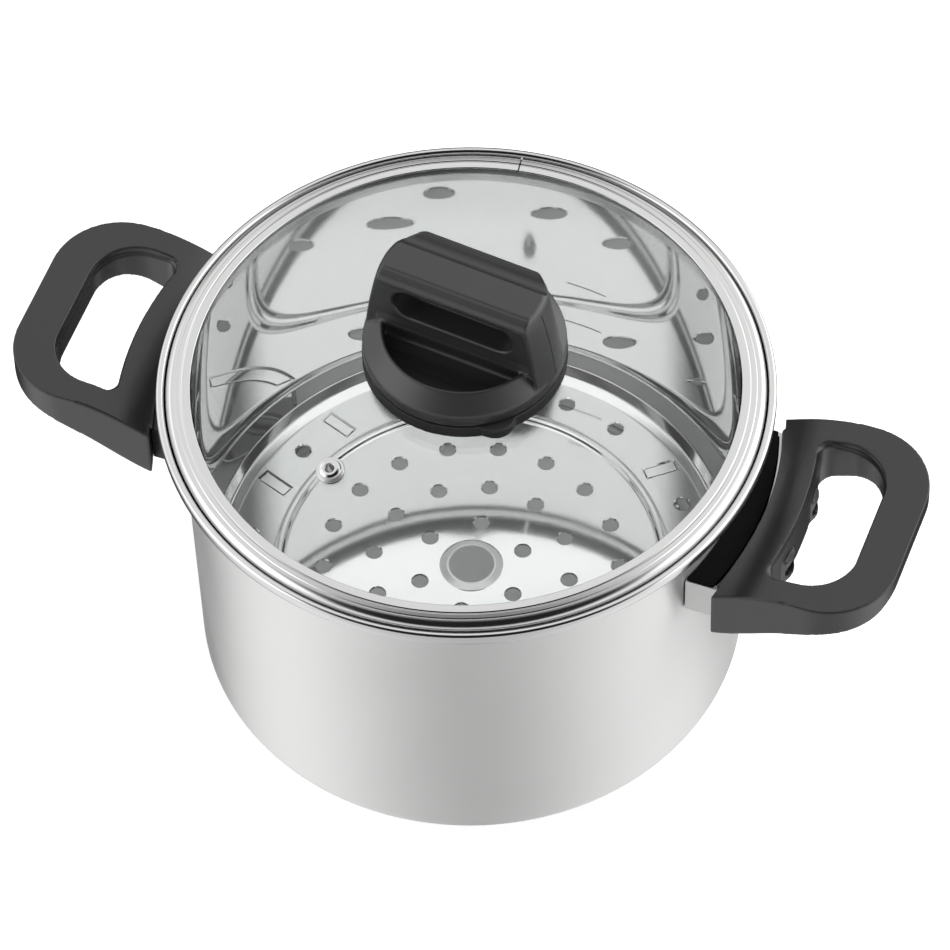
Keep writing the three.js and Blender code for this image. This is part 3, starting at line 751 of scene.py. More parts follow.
# Steam vent: stepped eyelet, flared under the glass
ventSetup = {
    "profile": [
        (1.8, -2, 0), (1.8, -5.2, 0.2), (4.4, -5.2, 0.3), (4.4, -4.42, 0.3), (3.0, -4.42, 0.15),
        (3.0, 0.3, 0.1), (5.5, 0.3, 0.1), (5.5, 0.95, 0.3), (4.3, 1.1, 0.15), (4.05, 1.8, 0.25),
        (2.9, 2.2, 0.3), (1.8, 2.2, 0.35), (1.8, -2, 0),
    ],
    "steps": 48,
}


def makeVent():
    piece = spinPiece("ventEyelet", roundCorners(ventSetup["profile"], 20), ventSetup["steps"])
    settle(piece, onVent())
    evenShade(piece)
    fitPiece(piece, "vent_eyelet", "lid", "polished_steel", polishedSteel)


makeVent()
print("steam vent made")


# Knob seat: dark spacer ring with a lobe at the front
seatSetup = {
    "radius": 39.6,
    "bore": 21.8,
    "top": 179.0,
    "gap": 0.3,
    "lobeRadius": 8,
    "lobeProud": 3.6,
    "lobeAngle": -51,
    "stations": 8,
    "steps": 96,
    "grain": 0.5,
    "rounds": 4,
}


def makeSeat():
    out, bore, gap = seatSetup["radius"], seatSetup["bore"], seatSetup["gap"]
    count = seatSetup["stations"]
    radii = [bore + (out - bore) * i / count for i in range(count + 1)]
    under = [(r, domeTop(r) + gap) for r in radii]
    profile = under + [(out, seatSetup["top"]), (bore, seatSetup["top"]), under[0]]
    piece = spinPiece("knobSeat", profile, seatSetup["steps"])
    middle = out + seatSetup["lobeProud"] - seatSetup["lobeRadius"]
    low = domeTop(middle - seatSetup["lobeRadius"]) + gap
    lobe = pullUp("seatLobe", circle(seatSetup["lobeRadius"], 36, middle), low, seatSetup["top"])
    carve(piece, turnPiece(lobe, seatSetup["lobeAngle"]), "UNION")
    soften(piece, seatSetup["grain"], seatSetup["rounds"])
    fitPiece(piece, "knob_seat", "lid", "dark_rubber", darkRubber)


makeSeat()
print("knob seat made")


# Knob: round base, grip bar across it, half-moon scoop on each side
knobSetup = {
    "base": [(0, 179.3, 0), (39.3, 179.3, 1.0), (39.3, 184.8, 1.4), (32.2, 191.3, 1.0), (0, 191.3, 0)],
    "plan": [(36.5, -13), (39.0, -5), (39.4, 3), (37.4, 9.5), (32.0, 15), (25, 18.7), (14, 19.4)],
    "shares": [
        (180.3, 1), (184.8, 1), (190, 0.985), (195.15, 0.965), (201, 0.941), (207.2, 0.91), (211.5, 0.887),
        (214.8, 0.867), (216.8, 0.85), (218.2, 0.83), (218.9, 0.81), (219.3, 0.78),
    ],
    "section": [
        (-12.4, 180.3), (19.2, 180.3), (18.2, 213.5), (17.8, 216.6), (16.6, 218.2), (13.5, 218.9), (7, 219.3),
        (-5.9, 219.3), (-6.5, 218.8), (-7.1, 219.0), (-9.9, 217.9), (-10.9, 216.6),
    ],
    "valley": [
        (6.9, 220), (6.9, 219.3), (7.7, 218.2), (9.3, 217), (11.4, 216.5), (13.4, 216.9), (15, 217.9), (16.2, 220),
    ],
    "frame": [(-46, 185, 0), (-46, 214.2, 0), (29.8, 214.2, 3.5), (34.2, 193, 20), (36.2, 185, 0)],
    "frameFront": -30,
    "frameDepth": -10.0,
    "lipHalf": 32,
    "lip": [(-9.4, 187.95), (-10.9, 189.66), (-9.4, 199)],
    "recessHalf": 25.5,
    "recessTall": 7.0,
    "recessMiddle": 204.8,
    "recessFront": -20,
    "recessBack": 0.2,
    "frontScoop": [
        (-31.2, 200), (-31.2, 190.6), (-28, 187.6), (-22, 184.6), (-15, 182.6), (-9.6, 182.2),
        (-8.6, 183.4), (-9, 187.5), (-10.9, 189.66), (-10.95, 200),
    ],
    "backScoop": [
        (31.2, 200), (31.2, 190.6), (29, 187.6), (25.5, 185), (21.5, 183.2), (17.5, 182.6),
        (16.8, 184), (17, 188), (18.4, 190), (19.3, 190.4), (19.4, 200),
    ],
    "scoopRadius": 31,
    "scoopHalf": 45,
    "barHalf": 60,
    "cutLow": 170,
    "cutHigh": 230,
    "insertBore": 4.3,
    "insertTop": 191.3,
    "seamAcross": -0.8,
    "seamWidth": 0.4,
    "seamDepth": 0.9,
    "seamProud": 2,
    "seamTop": 217,
    "seamLow": 184,
    "sharpAngle": 60,
    "turn": -6,
    "grain": 0.42,
    "rounds": 6,
    "keep": 0.6,
}


def cutSeam(piece):
    # mould line down the right end of the grip, a fine groove
    look = knobSetup
    end = max(look["plan"])[0]
    levels = [(end * share, z) for z, share in look["shares"] if look["seamLow"] < z < look["seamTop"]]
    line = [(x + look["seamProud"], z) for x, z in levels]
    line += [(x - look["seamDepth"], z) for x, z in reversed(levels)]
    start = look["seamAcross"] - look["seamWidth"] / 2
    carve(piece, pullPrism("knobSeam", [(x, start, z) for x, z in line], (0, look["seamWidth"], 0)))
    bpy.ops.object.shade_smooth_by_angle(angle=math.radians(look["sharpAngle"]))


def makeKnob():
    look = knobSetup
    piece = spinPiece("knobGrip", roundCorners(look["base"], 20), 128)
    half = cutCorners(look["plan"])
    plan = half + [(-x, y) for x, y in reversed(half)]
    bar = pullTaper("knobBar", plan, [(z, share, 1) for z, share in look["shares"]])
    carve(bar, pullAlong("knobSection", look["section"], look["barHalf"]), "INTERSECT")
    front, deep = look["frameFront"], look["frameDepth"] - look["frameFront"]
    edge = roundCorners(look["frame"], 12)
    carve(bar, pullPrism("knobFrame", [(x, front, z) for x, z in edge], (0, deep, 0)))
    carve(bar, pullAlong("knobValley", look["valley"], look["barHalf"]))
    carve(piece, bar, "UNION")
    for name in ("frontScoop", "backScoop"):
        scoop = pullAlong(name, look[name], look["scoopHalf"])
        bowl = pullUp("bowl", circle(look["scoopRadius"], 72), look["cutLow"], look["cutHigh"])
        carve(piece, carve(scoop, bowl, "INTERSECT"))
    carve(piece, pullAlong("knobLip", look["lip"], look["lipHalf"]), "UNION")
    half, tall, middle = look["recessHalf"], look["recessTall"], look["recessMiddle"]
    slot = arcSpots(half - tall, middle, tall, -90, 90, 12) + arcSpots(tall - half, middle, tall, 90, 270, 12)
    front, deep = look["recessFront"], look["recessBack"] - look["recessFront"]
    carve(piece, pullPrism("knobRecess", [(x, front, z) for x, z in slot], (0, deep, 0)))
    carve(piece, pullUp("insertBore", circle(look["insertBore"]), look["cutLow"], look["insertTop"]))
    soften(piece, look["grain"], look["rounds"], look["keep"])
    cutSeam(piece)
    turnPiece(piece, look["turn"])
    # the knob takes the lighter plastic, which is painted light
    fitPiece(piece, "knob_body", "lid", "dark_plastic", knobPaintedLightPlastic)


makeKnob()
print("knob made")


# Knob fixing under the glass
fixingSetup = {
    "ring": [(6, 0, 0), (9, 0, 0.25), (9, 1, 0.25), (2.8, 1, 0.15), (2.8, 0, 0.15), (6, 0, 0)],
    "gasketLow": 169.87,
    "washerLow": 168.57,
    "steps": 48,
    "slot": (6, 0.6),
    "slotRange": (163, 166.6),
    "screw": [
        (0, 165.27, 0), (2.76, 165.27, 0.5), (4.6, 167.07, 0.5), (4.6, 168.27, 0.2), (2.5, 168.27, 0.1),
        (2.5, 189.3, 0.5), (0, 189.3, 0),
    ],
}


def makeFixing():
    look = fixingSetup

    def makeRing(name, low):
        profile = [(r, low + z, bend) for r, z, bend in look["ring"]]
        return evenShade(spinPiece(name, roundCorners(profile, 30), look["steps"]))

    gasket = makeRing("knobGasket", look["gasketLow"])
    fitPiece(gasket, "knob_gasket", "lid", "grey_silicone", greySilicone)
    washer = makeRing("knobWasher", look["washerLow"])
    fitPiece(washer, "knob_washer", "lid", "zinc_steel", zincSteel)
    screw = spinPiece("knobScrew", roundCorners(look["screw"], 20), look["steps"])
    carve(screw, pullUp("knobSlot", boxSpots(*look["slot"]), *look["slotRange"]))
    evenShade(screw)
    fitPiece(screw, "knob_screw", "lid", "zinc_steel", zincSteel)
    paintNode("knob_insert", brass)


makeFixing()
print("knob fixing made")


# Handles: plastic loops, modelled on the +X side and copied to the other
handleSetup = {
    "inner": 124.0,
    "rootLip": 1.3,
    "lipUnder": 125.75,
    "lipTurn": 19.0,
    "outer": 181.5,
    "half": 46.0,
    "corner": 28.0,
    "top": 137.35,
    "tip": 12.4,
    "root": 29.4,
    "droop": 5.6,
    "openingInner": 137.0,
    "openingOuter": 165.0,
    "openingHalf": 35.0,
    "openingCorner": 19.0,
    "openingRoot": 5.0,
    "endTurn": 30,
    "endFlare": 0.1,
    "endSteps": 12,
    "relief": 20,
    "blankRange": (60, 150),
    "cutLow": 50,
    "cutHigh": 160,
    "cutLap": 0.5,
    "sideHalf": 60,
    "lipDepth": 3.4,
    "lipStep": 0.9,
    "bossRadius": 7.4,
    "bossMiddle": 132.6,
    "bossRange": (70, 125.6),
    "screwBores": [(2.3, 115, 136.5), (3.9, 135.2, 142)],
    "screwAngle": 6.4,
    "screwHeight": 118.95,
    "grain": 0.45,
    "rounds": 9,
    "keep": 0.7,
}


def sideTurn(across, radius):
    return math.degrees(math.asin(across / radius))


def layRadial(piece, angle):
    # drawn upright, laid down to point out from the axis at the screws' height
    lean = Matrix.Translation((0, 0, handleSetup["screwHeight"] * mm)) @ Matrix.Rotation(math.pi / 2, 4, "Y")
    return settle(piece, Matrix.Rotation(math.radians(angle), 4, "Z") @ lean)


def openingOutline(inset):
    look = handleSetup
    inner, outer = look["openingInner"] + inset, look["openingOuter"] - inset
    half, corner, root = look["openingHalf"] - inset, look["openingCorner"] - inset, look["openingRoot"]
    turn = sideTurn(half - root, inner)
    start = inner * math.cos(math.radians(turn)) + root
    return (
        ringArc(inner, -turn, turn, 24)
        + arcSpots(start, half - root, root, 180, 90, 6)[1:]
        + arcSpots(outer - corner, half - corner, corner, 90, 0, 14)
        + arcSpots(outer - corner, corner - half, corner, 0, -90, 14)
        + arcSpots(start, root - half, root, -90, -180, 6)[:-1]
    )


def makeHandles():
    look = handleSetup
    inner, outer, half, corner, top = (look[key] for key in ("inner", "outer", "half", "corner", "top"))
    low, high, back = look["cutLow"], look["cutHigh"], inner - look["relief"]
    rootTurn = sideTurn(half, inner)
    plan = (
        arcSpots(outer - corner, corner - half, corner, -90, 0, 20)
        + arcSpots(outer - corner, half - corner, corner, 0, 90, 20)
        + ringArc(inner - look["rootLip"], rootTurn, -rootTurn, 32)
    )
    piece = pullUp("rightHandle", plan, *look["blankRange"])
    end, count = look["endTurn"], look["endSteps"]
    relief = ringArc(inner, -end, end, 40) + ringArc(back, end, -end, 40)
    carve(piece, pullUp("rootRelief", relief, low, look["lipUnder"]))
    for side in (-1, 1):
        close, far = look["lipTurn"] * side, end * side
        bend = []
        for i in range(count + 1):
            radius, turn = inner + look["endFlare"] * i, math.radians(close + (far - close) * i / count)
            bend.append((radius * math.cos(turn), radius * math.sin(turn)))
        carve(piece, pullUp("rootEnd", bend + ringArc(back, far, close, count), low, high))
    step = top - look["lipDepth"]
    carve(piece, pullUp("openingTop", openingOutline(0), step, high))
    carve(piece, pullUp("openingLow", openingOutline(look["lipStep"]), low, step + look["cutLap"]))
    for side in (-1, 1):
        boss = pullUp("boss", circle(look["bossRadius"], 36, look["bossMiddle"]), *look["bossRange"])
        carve(piece, turnPiece(boss, side * look["screwAngle"]), "UNION")

    def along(share):
        return inner + share * (outer - inner)

    def under(share):
        return top - look["tip"] - share * (look["root"] - look["tip"])

    def droop(share):
        return top - share * look["droop"]

    edge = inner * math.cos(math.radians(rootTurn)) - 1
    lower = cutCorners([
        (edge, under(1.22)), (along(-0.1), under(1.18)), (along(0.035), under(1)), (along(0.313), under(0.53)),
        (along(0.487), under(0.29)), (along(0.626), under(0.12)), (along(0.904), under(0)),
        (along(0.97), top - 0.8 * look["tip"]), (along(1.02), top - 0.5 * look["tip"]),
    ])
    upper = cutCorners([
        (along(1.02), top), (along(0.55), top), (along(0.36), top), (along(0.25), droop(0.2)),
        (along(0.13), droop(0.54)), (along(0.05), droop(0.86)), (along(0), droop(1.08)), (edge, droop(1.9)),
    ])
    carve(piece, pullAcross("handleSide", lower + upper, look["sideHalf"]), "INTERSECT")
    for side in (-1, 1):
        for radius, start, stop in look["screwBores"]:
            hole = pullUp("screwHole", circle(radius), start, stop)
            carve(piece, layRadial(hole, side * look["screwAngle"]))
    soften(piece, look["grain"], look["rounds"], look["keep"])
    other = copyPiece(piece, "leftHandle", 180)
    fitPiece(piece, "right_handle", "pot", "dark_plastic", darkPlastic)
    fitPiece(other, "left_handle", "pot", "dark_plastic", darkPlastic)


makeHandles()
print("handles made")


# Brackets: bent straps between wall and handle, with their screws and nuts
bracketSetup = {
    "foot": 111.0,
    "web": 123.7,
    "sheet": 2.2,
    "half": 39.0,
    "footLength": 12.0,
    "low": 107.55,
    "high": 125.35,
    "edge": 0.35,
    "nutEdge": 0.3,
    "spacerEdge": 0.25,
    "bore": 2.3,
    "strapBore": (119, 126),
    "nutBore": (110, 130),
    "spacerBore": 115.9,
    "boreLap": 2,
    "cross": (2.2, 0.45),
    "crossRange": (136.6, 140),
    "screw": [
        (0, 116.2, 0), (1.5, 116.2, 0), (2.0, 116.7, 0), (2.0, 135.5, 0.1), (3.6, 135.5, 0.2), (3.6, 137.06, 0.6),
        (2.16, 138.1, 0.8), (0, 138.1, 0),
    ],
    "nutRadius": 4.3,
    "nutLow": 117.2,
    "nutHigh": 121.2,
    "gap": 0.3,
    "coverHeight": 0.9,
    "coverShow": 0.8,
}


def makeBrackets():
    look = bracketSetup
    sheet, foot, web = look["sheet"], look["foot"], look["web"]
    out, inn = look["half"] + sheet / 2, look["half"] - sheet / 2
    footInner = sideTurn(out, foot) - math.degrees(look["footLength"] / foot)
    halfFoot = (
        ringArc(foot, sideTurn(out, foot), footInner, 8)
        + ringArc(foot + sheet, footInner, sideTurn(inn, foot + sheet), 8)
    )
    outer, inner = sideTurn(out, web), sideTurn(inn, web - sheet)
    outline = (
        ringArc(web, -outer, outer, 32) + halfFoot
        + ringArc(web - sheet, inner, -inner, 32) + [(x, -y) for x, y in reversed(halfFoot)]
    )
    piece = pullUp("rightBracket", outline, look["low"], look["high"])
    for side in (-1, 1):
        hole = pullUp("strapHole", circle(look["bore"]), *look["strapBore"])
        carve(piece, layRadial(hole, side * handleSetup["screwAngle"]))
    breakEdges(piece, look["edge"])
    evenShade(piece, 30)
    other = copyPiece(piece, "leftBracket", 180)
    fitPiece(piece, "right_bracket", "pot", "satin_steel", bracketSteel)
    # the left strap takes near-black steel, which is painted shade; the right strap keeps its steel
    fitPiece(other, "left_bracket", "pot", "satin_steel", blackSteelAndPaintedShade)


def makeScrews():
    look = bracketSetup
    screw = spinPiece("screwBlank", roundCorners(look["screw"], 20), 40)
    for spots in (boxSpots(*look["cross"]), boxSpots(*reversed(look["cross"]))):
        carve(screw, pullUp("cross", spots, *look["crossRange"]))
    evenShade(screw)
    nut = pullUp("nutBlank", circle(look["nutRadius"], 6), look["nutLow"], look["nutHigh"])
    breakEdges(nut, look["nutEdge"])
    carve(nut, pullUp("nutBore", circle(look["bore"]), *look["nutBore"]))
    evenShade(nut, 30)
    for side, turn in (("right", 0), ("left", 180)):
        for number, lean in ((1, -1), (2, 1)):
            angle = turn + lean * handleSetup["screwAngle"]
            bolt = copyPiece(screw, "%sScrew%d" % (side, number))
            fitPiece(layRadial(bolt, angle), "%s_screw_%d" % (side, number), "pot", "zinc_steel", blackSteelAndPaintedShade)
            hold = copyPiece(nut, "%sNut%d" % (side, number))
            fitPiece(layRadial(hold, angle), "%s_nut_%d" % (side, number), "pot", "zinc_steel", zincSteel)
    bpy.data.objects.remove(screw)
    bpy.data.objects.remove(nut)


def makeSpacers():
    # plastic block inside the strap, with a pocket for each nut
    look = bracketSetup
    gap, outer, inner = look["gap"], look["nutHigh"], look["foot"] + look["sheet"] + look["gap"]
    side = look["half"] - look["sheet"] / 2 - gap
    wide, near = sideTurn(side, outer), sideTurn(side, inner)
    wall, foot = look["foot"] + gap, near - math.degrees((look["footLength"] + gap) / look["foot"])
    outline = (
        ringArc(outer, -wide, wide, 32) + ringArc(inner, near, foot, 8)
        + ringArc(wall, foot, -foot, 24) + ringArc(inner, -foot, -near, 8)
    )
    top = look["high"] + gap + look["coverHeight"]
    piece = pullUp("rightSpacer", outline, look["low"] + gap, top)
    reach = look["half"] + look["sheet"] / 2 - look["coverShow"]
    wide, near = sideTurn(reach, outer), sideTurn(reach, wall)
    cover = ringArc(outer, -wide, wide, 32) + ringArc(wall, near, -near, 32)
    carve(piece, pullUp("spacerCover", cover, look["high"] + gap, top), "UNION")
    breakEdges(piece, look["spacerEdge"])
    for lean in (-1, 1):
        pockets = [(look["nutRadius"] + gap, look["nutLow"] - gap), (look["bore"], look["spacerBore"])]
        for radius, start in pockets:
            pocket = pullUp("nutPocket", circle(radius), start, outer + look["boreLap"])
            carve(piece, layRadial(pocket, lean * handleSetup["screwAngle"]))
    evenShade(piece, 30)
    other = copyPiece(piece, "leftSpacer", 180)
    # the spacers' near-black finish is painted shade for the void inside each strap
    fitPiece(piece, "right_spacer", "pot", "dark_plastic", paintedShadeBlack)
    fitPiece(other, "left_spacer", "pot", "dark_plastic", paintedShadeBlack)


makeBrackets()
makeScrews()
makeSpacers()
print("brackets, screws, nuts and spacers made")


# Steamer plate on three folded legs
plateSetup = {
    "top": 36.3,
    "sheet": 0.9,
    "start": 20,
    "surface": [
        (9, 37.9, 0.4), (10.0, 37.7, 1.0), (12.4, 36.3, 2.4), (75.2, 36.3, 1.4), (76.5, 37.8, 1.2),
        (78.3, 37.8, 1.2), (79.6, 36.3, 1.4), (98, 36.3, 3), (101.6, 38.2, 3), (104.3, 42.2, 0.3),
        (105.1, 41.7, 0.3), (102.4, 37.5, 2.6),
    ],
    "lipTo": 12.6,
    "hole": 3.15,
    "flare": 0.4,
    "punch": 4,
    "rings": [(21.8, 6), (39.7, 12), (59.2, 18)],
    "edgeRing": 89.8,
    "edgeSteps": [0, 30, 45, 60, 75, 90],
    "stations": [39.5, 159.5, 279.5],
    "slotMiddle": 87.66,
    "slotSide": 19.43,
    "slotLength": 13.0,
    "slotWidth": 5.0,
    "slotCorner": 0.8,
    "slotEdge": 0.55,
}


def makePlate():
    look = plateSetup
    top, start, low = look["top"], (look["start"], look["top"], 0), look["top"] - look["punch"]
    back = [(r, z - look["sheet"], bend) for r, z, bend in reversed(look["surface"][:8])]
    profile = [start] + look["surface"][3:] + back + look["surface"][:3] + [start]
    piece = spinPiece("steamerPlate", roundCorners(profile, 15), 160)
    hole, wide = look["hole"], look["hole"] + look["flare"]
    punch = spinPiece("punch", [
        (0, low), (hole, low), (hole, top - look["flare"]), (wide, top + 0.02), (wide, top + 1), (0, top + 1),
    ], 24)
    places = []
    for radius, count in look["rings"]:
        places += [(radius, look["stations"][0] + 360 * i / count) for i in range(count)]
    for station in look["stations"]:
        places += [(look["edgeRing"], station + step) for step in look["edgeSteps"]]
    tools = []
    for radius, angle in places:
        tools.append(turnOut(copyPiece(punch, "punchAt"), angle, radius))
    bpy.data.objects.remove(punch)
    a, b, r, edge = look["slotLength"] / 2, look["slotWidth"] / 2, look["slotCorner"], look["slotEdge"]
    sinks = []
    for station in look["stations"]:
        for side in (-1, 1):
            x, y = look["slotMiddle"], side * look["slotSide"]
            outline = []
            for sx, sy, turn in ((1, 1, 0), (-1, 1, 90), (-1, -1, 180), (1, -1, 270)):
                outline += arcSpots(x + sx * (a - r), y + sy * (b - r), r, turn, turn + 90, 4)
            tools.append(turnPiece(pullUp("slotAt", outline, low, top + look["punch"]), station))
            sink = pullTaper("slotSink", [(a, b), (-a, b), (-a, -b), (a, -b)], [
                (top - edge, 1, 1), (top + edge, (a + 2 * edge) / a, (b + 2 * edge) / b),
            ])
            sinks.append(turnOut(sink, station, x, y))
    carve(piece, joinPieces(tools))
    carve(piece, joinPieces(sinks))
    evenShade(piece, 30)
    piece.visible_diffuse = False
    fitPiece(piece, "steamer_plate", "steamer", "polished_steel", plateSteel, lipPaintedLightSteel)
    # faces round the finger hole take the whiter steel, which is painted light
    for face in piece.data.polygons:
        if math.hypot(face.center.x, face.center.y) < look["lipTo"] * mm:
            face.material_index = 1


legSetup = {
    "outer": 21.63,
    "sheet": 1.5,
    "low": 6.6,
    "high": 35.1,
    "width": 16.4,
    "tabTop": 35.9,
    "tabLength": 12.4,
    "tabWidth": 4.4,
    "tabLap": 0.75,
    "bend": 3.0,
    "edge": 0.25,
}


def makeLegs():
    look = legSetup
    out, sheet, low, high, bend = (look[key] for key in ("outer", "sheet", "low", "high", "bend"))
    line = roundCorners([
        (-out, high, 0), (-out, low, bend), (out, low, bend), (out, high, 0), (out - sheet, high, 0),
        (out - sheet, low + sheet, bend - sheet), (sheet - out, low + sheet, bend - sheet), (sheet - out, high, 0),
    ], 15)
    leg = pullAlong("legBlank", line, look["width"] / 2)
    for side in (-1, 1):
        a, b, y = look["tabLength"] / 2, look["tabWidth"] / 2, side * plateSetup["slotSide"]
        tab = pullUp("tab", boxSpots(a, b, y), high - look["tabLap"], look["tabTop"])
        carve(leg, tab, "UNION")
    breakEdges(leg, look["edge"])
    evenShade(leg, 30)
    for number, station in enumerate(plateSetup["stations"], 1):
        piece = turnOut(copyPiece(leg, "steamerLeg%d" % number), station, plateSetup["slotMiddle"])
        fitPiece(piece, "steamer_leg_%d" % number, "steamer", "polished_steel", plateSteel)
    bpy.data.objects.remove(leg)


makePlate()
makeLegs()
print("steamer made")


# Stage: pale floor, white surroundings and soft studio light
stageSetup = {
    "floorSize": 6.0,
    "floorHeight": -0.0002,
    "floorTone": (0.86, 0.86, 0.86),
    "floorGlow": 0.55,
    "front": (0.366, -0.931, 0.0),
    "side": (0.931, 0.366, 0.0),
    "shade": (0.168, -0.428, 0.888),
    "shadeFrom": 0.68,
    "shadeTo": 0.88,
    "shadeLevel": 0.02,
    "worldLevel": 0.35,
    "frontLevel": 0.70,
    "backLevel": 0.05,
    "sideLevel": 0.70,
    "topLevel": 1.12,
    "topLean": 0.05,
    "insideLevel": 1.35,
    "insideSide": 0.2,
    "facingSpan": (-0.5, 0.5),
    "topSpan": (0.15, 0.5),
    "sideSpan": (-0.42, -0.04),
    "insideSpan": (-0.22, 0.05),
    "insideEdge": (0.07, 0.2),
    "lampAim": (0, 0, 0.08),
    "boxes": [
        ((0.757, 0.405, 0.513), 0.84, 0.97, 1.4),
        ((-0.765, -0.398, 0.515), 0.86, 0.97, 1.1),
        ((-0.955, 0.280, 0.068), 0.84, 0.97, 1.0),
        ((0.509, 0.856, 0.068), 0.84, 0.97, 1.9),
    ],
    "flags": [
        ((-0.364, 0.927, 0.087), 0.93, 0.985, 0.92),
    ],
    "lamps": [
        ("keyBox", (0.9, 0.7, 1.4), (0.8, 0.8), 18),
        ("leftBox", (-1.5, -0.5, 1.0), (0.7, 0.9), 8),
        ("frontBox", (0.8, -1.5, 1.2), (0.8, 0.6), 10),
    ],
}


def makeFloor():
    clearSelection()
    bpy.ops.mesh.primitive_plane_add(size=stageSetup["floorSize"], location=(0, 0, stageSetup["floorHeight"]))
    floor = nameIt(bpy.context.object, "floor")
    bpy.ops.object.transform_apply(location=True, rotation=True, scale=True)
    paint = bpy.data.materials.new("floorPaint")
    paint.use_nodes = True
    tree = paint.node_tree
    tree.nodes.remove(tree.nodes["Principled BSDF"])
    matt = addNode(tree, "ShaderNodeBsdfDiffuse", Color=(*stageSetup["floorTone"], 1))
    glow = addNode(tree, "ShaderNodeEmission", Color=(1, 1, 1, 1))
    path = tree.nodes.new("ShaderNodeLightPath")
    strength = mathNode(tree, "MULTIPLY", path.outputs["Is Camera Ray"], stageSetup["floorGlow"])
    tree.links.new(strength, glow.inputs["Strength"])
    both = tree.nodes.new("ShaderNodeAddShader")
    tree.links.new(matt.outputs[0], both.inputs[0])
    tree.links.new(glow.outputs[0], both.inputs[1])
    clear = tree.nodes.new("ShaderNodeBsdfTransparent")
    mix = tree.nodes.new("ShaderNodeMixShader")
    tree.links.new(path.outputs["Is Glossy Ray"], mix.inputs[0])
    tree.links.new(both.outputs[0], mix.inputs[1])
    tree.links.new(clear.outputs[0], mix.inputs[2])
    tree.links.new(mix.outputs[0], tree.nodes["Material Output"].inputs["Surface"])
    floor.data.materials.append(paint)


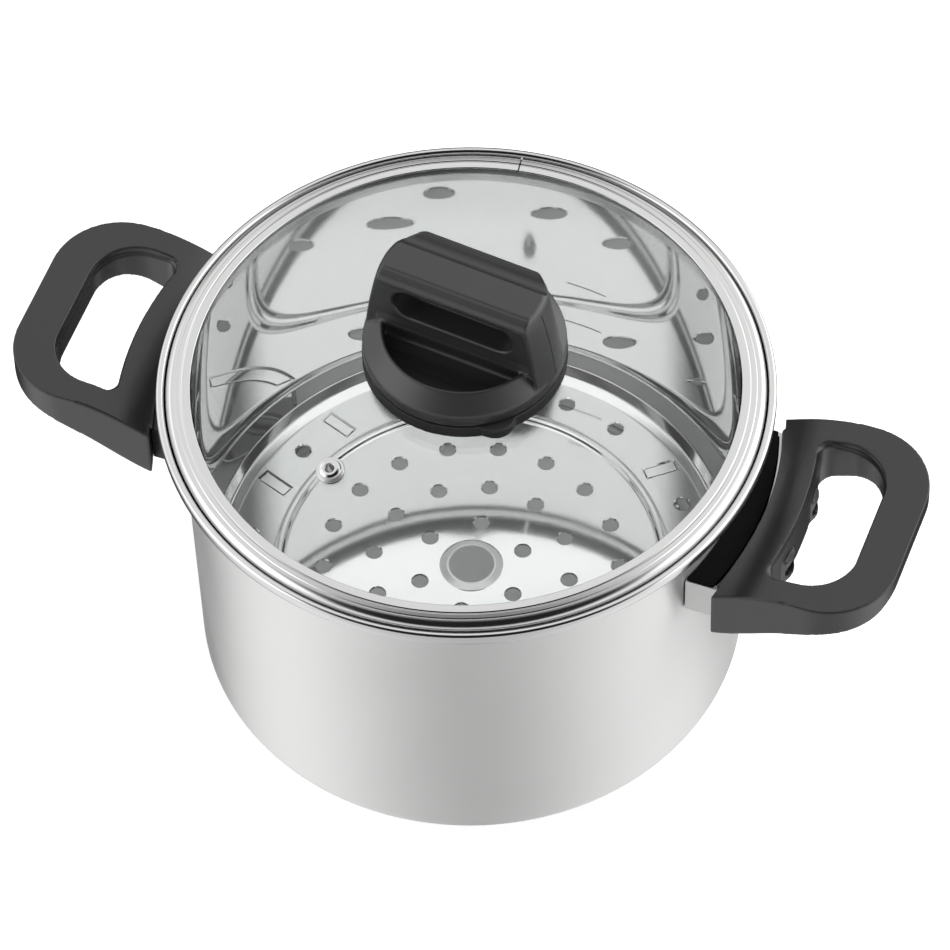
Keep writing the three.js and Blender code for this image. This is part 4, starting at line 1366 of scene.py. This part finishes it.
def makeWorld():
    world = bpy.data.worlds.new("studio")
    scene.world = world
    world.use_nodes = True
    tree = world.node_tree
    backdrop = tree.nodes["Background"]
    way = tree.nodes.new("ShaderNodeTexCoord").outputs["Generated"]

    def reach(direction):
        dot = tree.nodes.new("ShaderNodeVectorMath")
        dot.operation = "DOT_PRODUCT"
        tree.links.new(way, dot.inputs[0])
        dot.inputs[1].default_value = direction
        return dot.outputs["Value"]

    def fade(value, start, stop, low=0.0, high=1.0):
        ramp = tree.nodes.new("ShaderNodeMapRange")
        ramp.interpolation_type = "SMOOTHSTEP"
        tree.links.new(value, ramp.inputs["Value"])
        for name, level in (("From Min", start), ("From Max", stop), ("To Min", low), ("To Max", high)):
            ramp.inputs[name].default_value = level
        return ramp.outputs["Result"]

    def patch(direction, start, stop):
        return fade(reach(direction), start, stop)

    front = reach(stageSetup["front"])
    side = reach(stageSetup["side"])
    up = reach((0, 0, 1))
    frontSquare = mathNode(tree, "MULTIPLY", front, front)
    sideSquare = mathNode(tree, "MULTIPLY", side, side)
    flat = mathNode(tree, "ADD", mathNode(tree, "ADD", frontSquare, sideSquare), 0.0001)
    sideShare = mathNode(tree, "DIVIDE", sideSquare, flat)
    facing = fade(front, *stageSetup["facingSpan"], stageSetup["backLevel"], stageSetup["frontLevel"])
    topShare = fade(up, *stageSetup["topSpan"])
    sideGlow = mathNode(tree, "MULTIPLY", sideShare, fade(front, *stageSetup["sideSpan"]))
    around = mathNode(tree, "MULTIPLY_ADD", sideGlow, stageSetup["sideLevel"], facing)
    dark = patch(stageSetup["shade"], stageSetup["shadeFrom"], stageSetup["shadeTo"])
    lean = mathNode(tree, "MULTIPLY_ADD", side, stageSetup["topLean"], 1.0)
    bright = mathNode(tree, "MULTIPLY", lean, stageSetup["topLevel"])
    bright = mathNode(tree, "MULTIPLY", bright, mathNode(tree, "SUBTRACT", 1.0, dark))
    upper = mathNode(tree, "MULTIPLY_ADD", dark, stageSetup["shadeLevel"], bright)
    lower = mathNode(tree, "MULTIPLY", around, mathNode(tree, "SUBTRACT", 1.0, topShare))
    outside = mathNode(tree, "MULTIPLY_ADD", topShare, upper, lower)
    for direction, start, stop, level in stageSetup["boxes"]:
        outside = mathNode(tree, "MULTIPLY_ADD", patch(direction, start, stop), level, outside)
    for direction, start, stop, level in stageSetup["flags"]:
        left = mathNode(tree, "MULTIPLY_ADD", patch(direction, start, stop), -level, 1.0)
        outside = mathNode(tree, "MULTIPLY", outside, left)
    drop = stageSetup["insideLevel"] - stageSetup["insideSide"]
    behind = mathNode(tree, "SUBTRACT", 1.0, fade(front, *stageSetup["insideSpan"]))
    dim = mathNode(tree, "MULTIPLY", behind, fade(sideSquare, *stageSetup["insideEdge"]))
    inside = mathNode(tree, "MULTIPLY_ADD", dim, -drop, stageSetup["insideLevel"])
    path = tree.nodes.new("ShaderNodeLightPath")
    through = path.outputs["Is Transmission Ray"]
    shiny = mathNode(tree, "MULTIPLY", path.outputs["Is Glossy Ray"], mathNode(tree, "SUBTRACT", 1.0, through))
    plainShare = mathNode(tree, "SUBTRACT", mathNode(tree, "SUBTRACT", 1.0, shiny), through)
    level = mathNode(tree, "MULTIPLY", plainShare, stageSetup["worldLevel"])
    level = mathNode(tree, "MULTIPLY_ADD", shiny, outside, level)
    level = mathNode(tree, "MULTIPLY_ADD", through, inside, level)
    seen = path.outputs["Is Camera Ray"]
    unseen = mathNode(tree, "MULTIPLY", mathNode(tree, "SUBTRACT", 1.0, seen), level)
    tree.links.new(mathNode(tree, "ADD", unseen, seen), backdrop.inputs["Strength"])
    backdrop.inputs["Color"].default_value = (1, 1, 1, 1)


def makeLamps():
    for name, spot, size, power in stageSetup["lamps"]:
        clearSelection()
        bpy.ops.object.light_add(type="AREA", location=spot)
        lamp = bpy.context.object
        lamp.name = name
        lamp.data.shape = "RECTANGLE"
        lamp.data.size, lamp.data.size_y = size
        lamp.data.energy = power
        lamp.visible_glossy = False
        lamp.visible_transmission = False
        aim = Vector(stageSetup["lampAim"]) - Vector(spot)
        lamp.rotation_euler = aim.to_track_quat("-Z", "Y").to_euler()


makeFloor()
makeWorld()
makeLamps()
print("stage set")
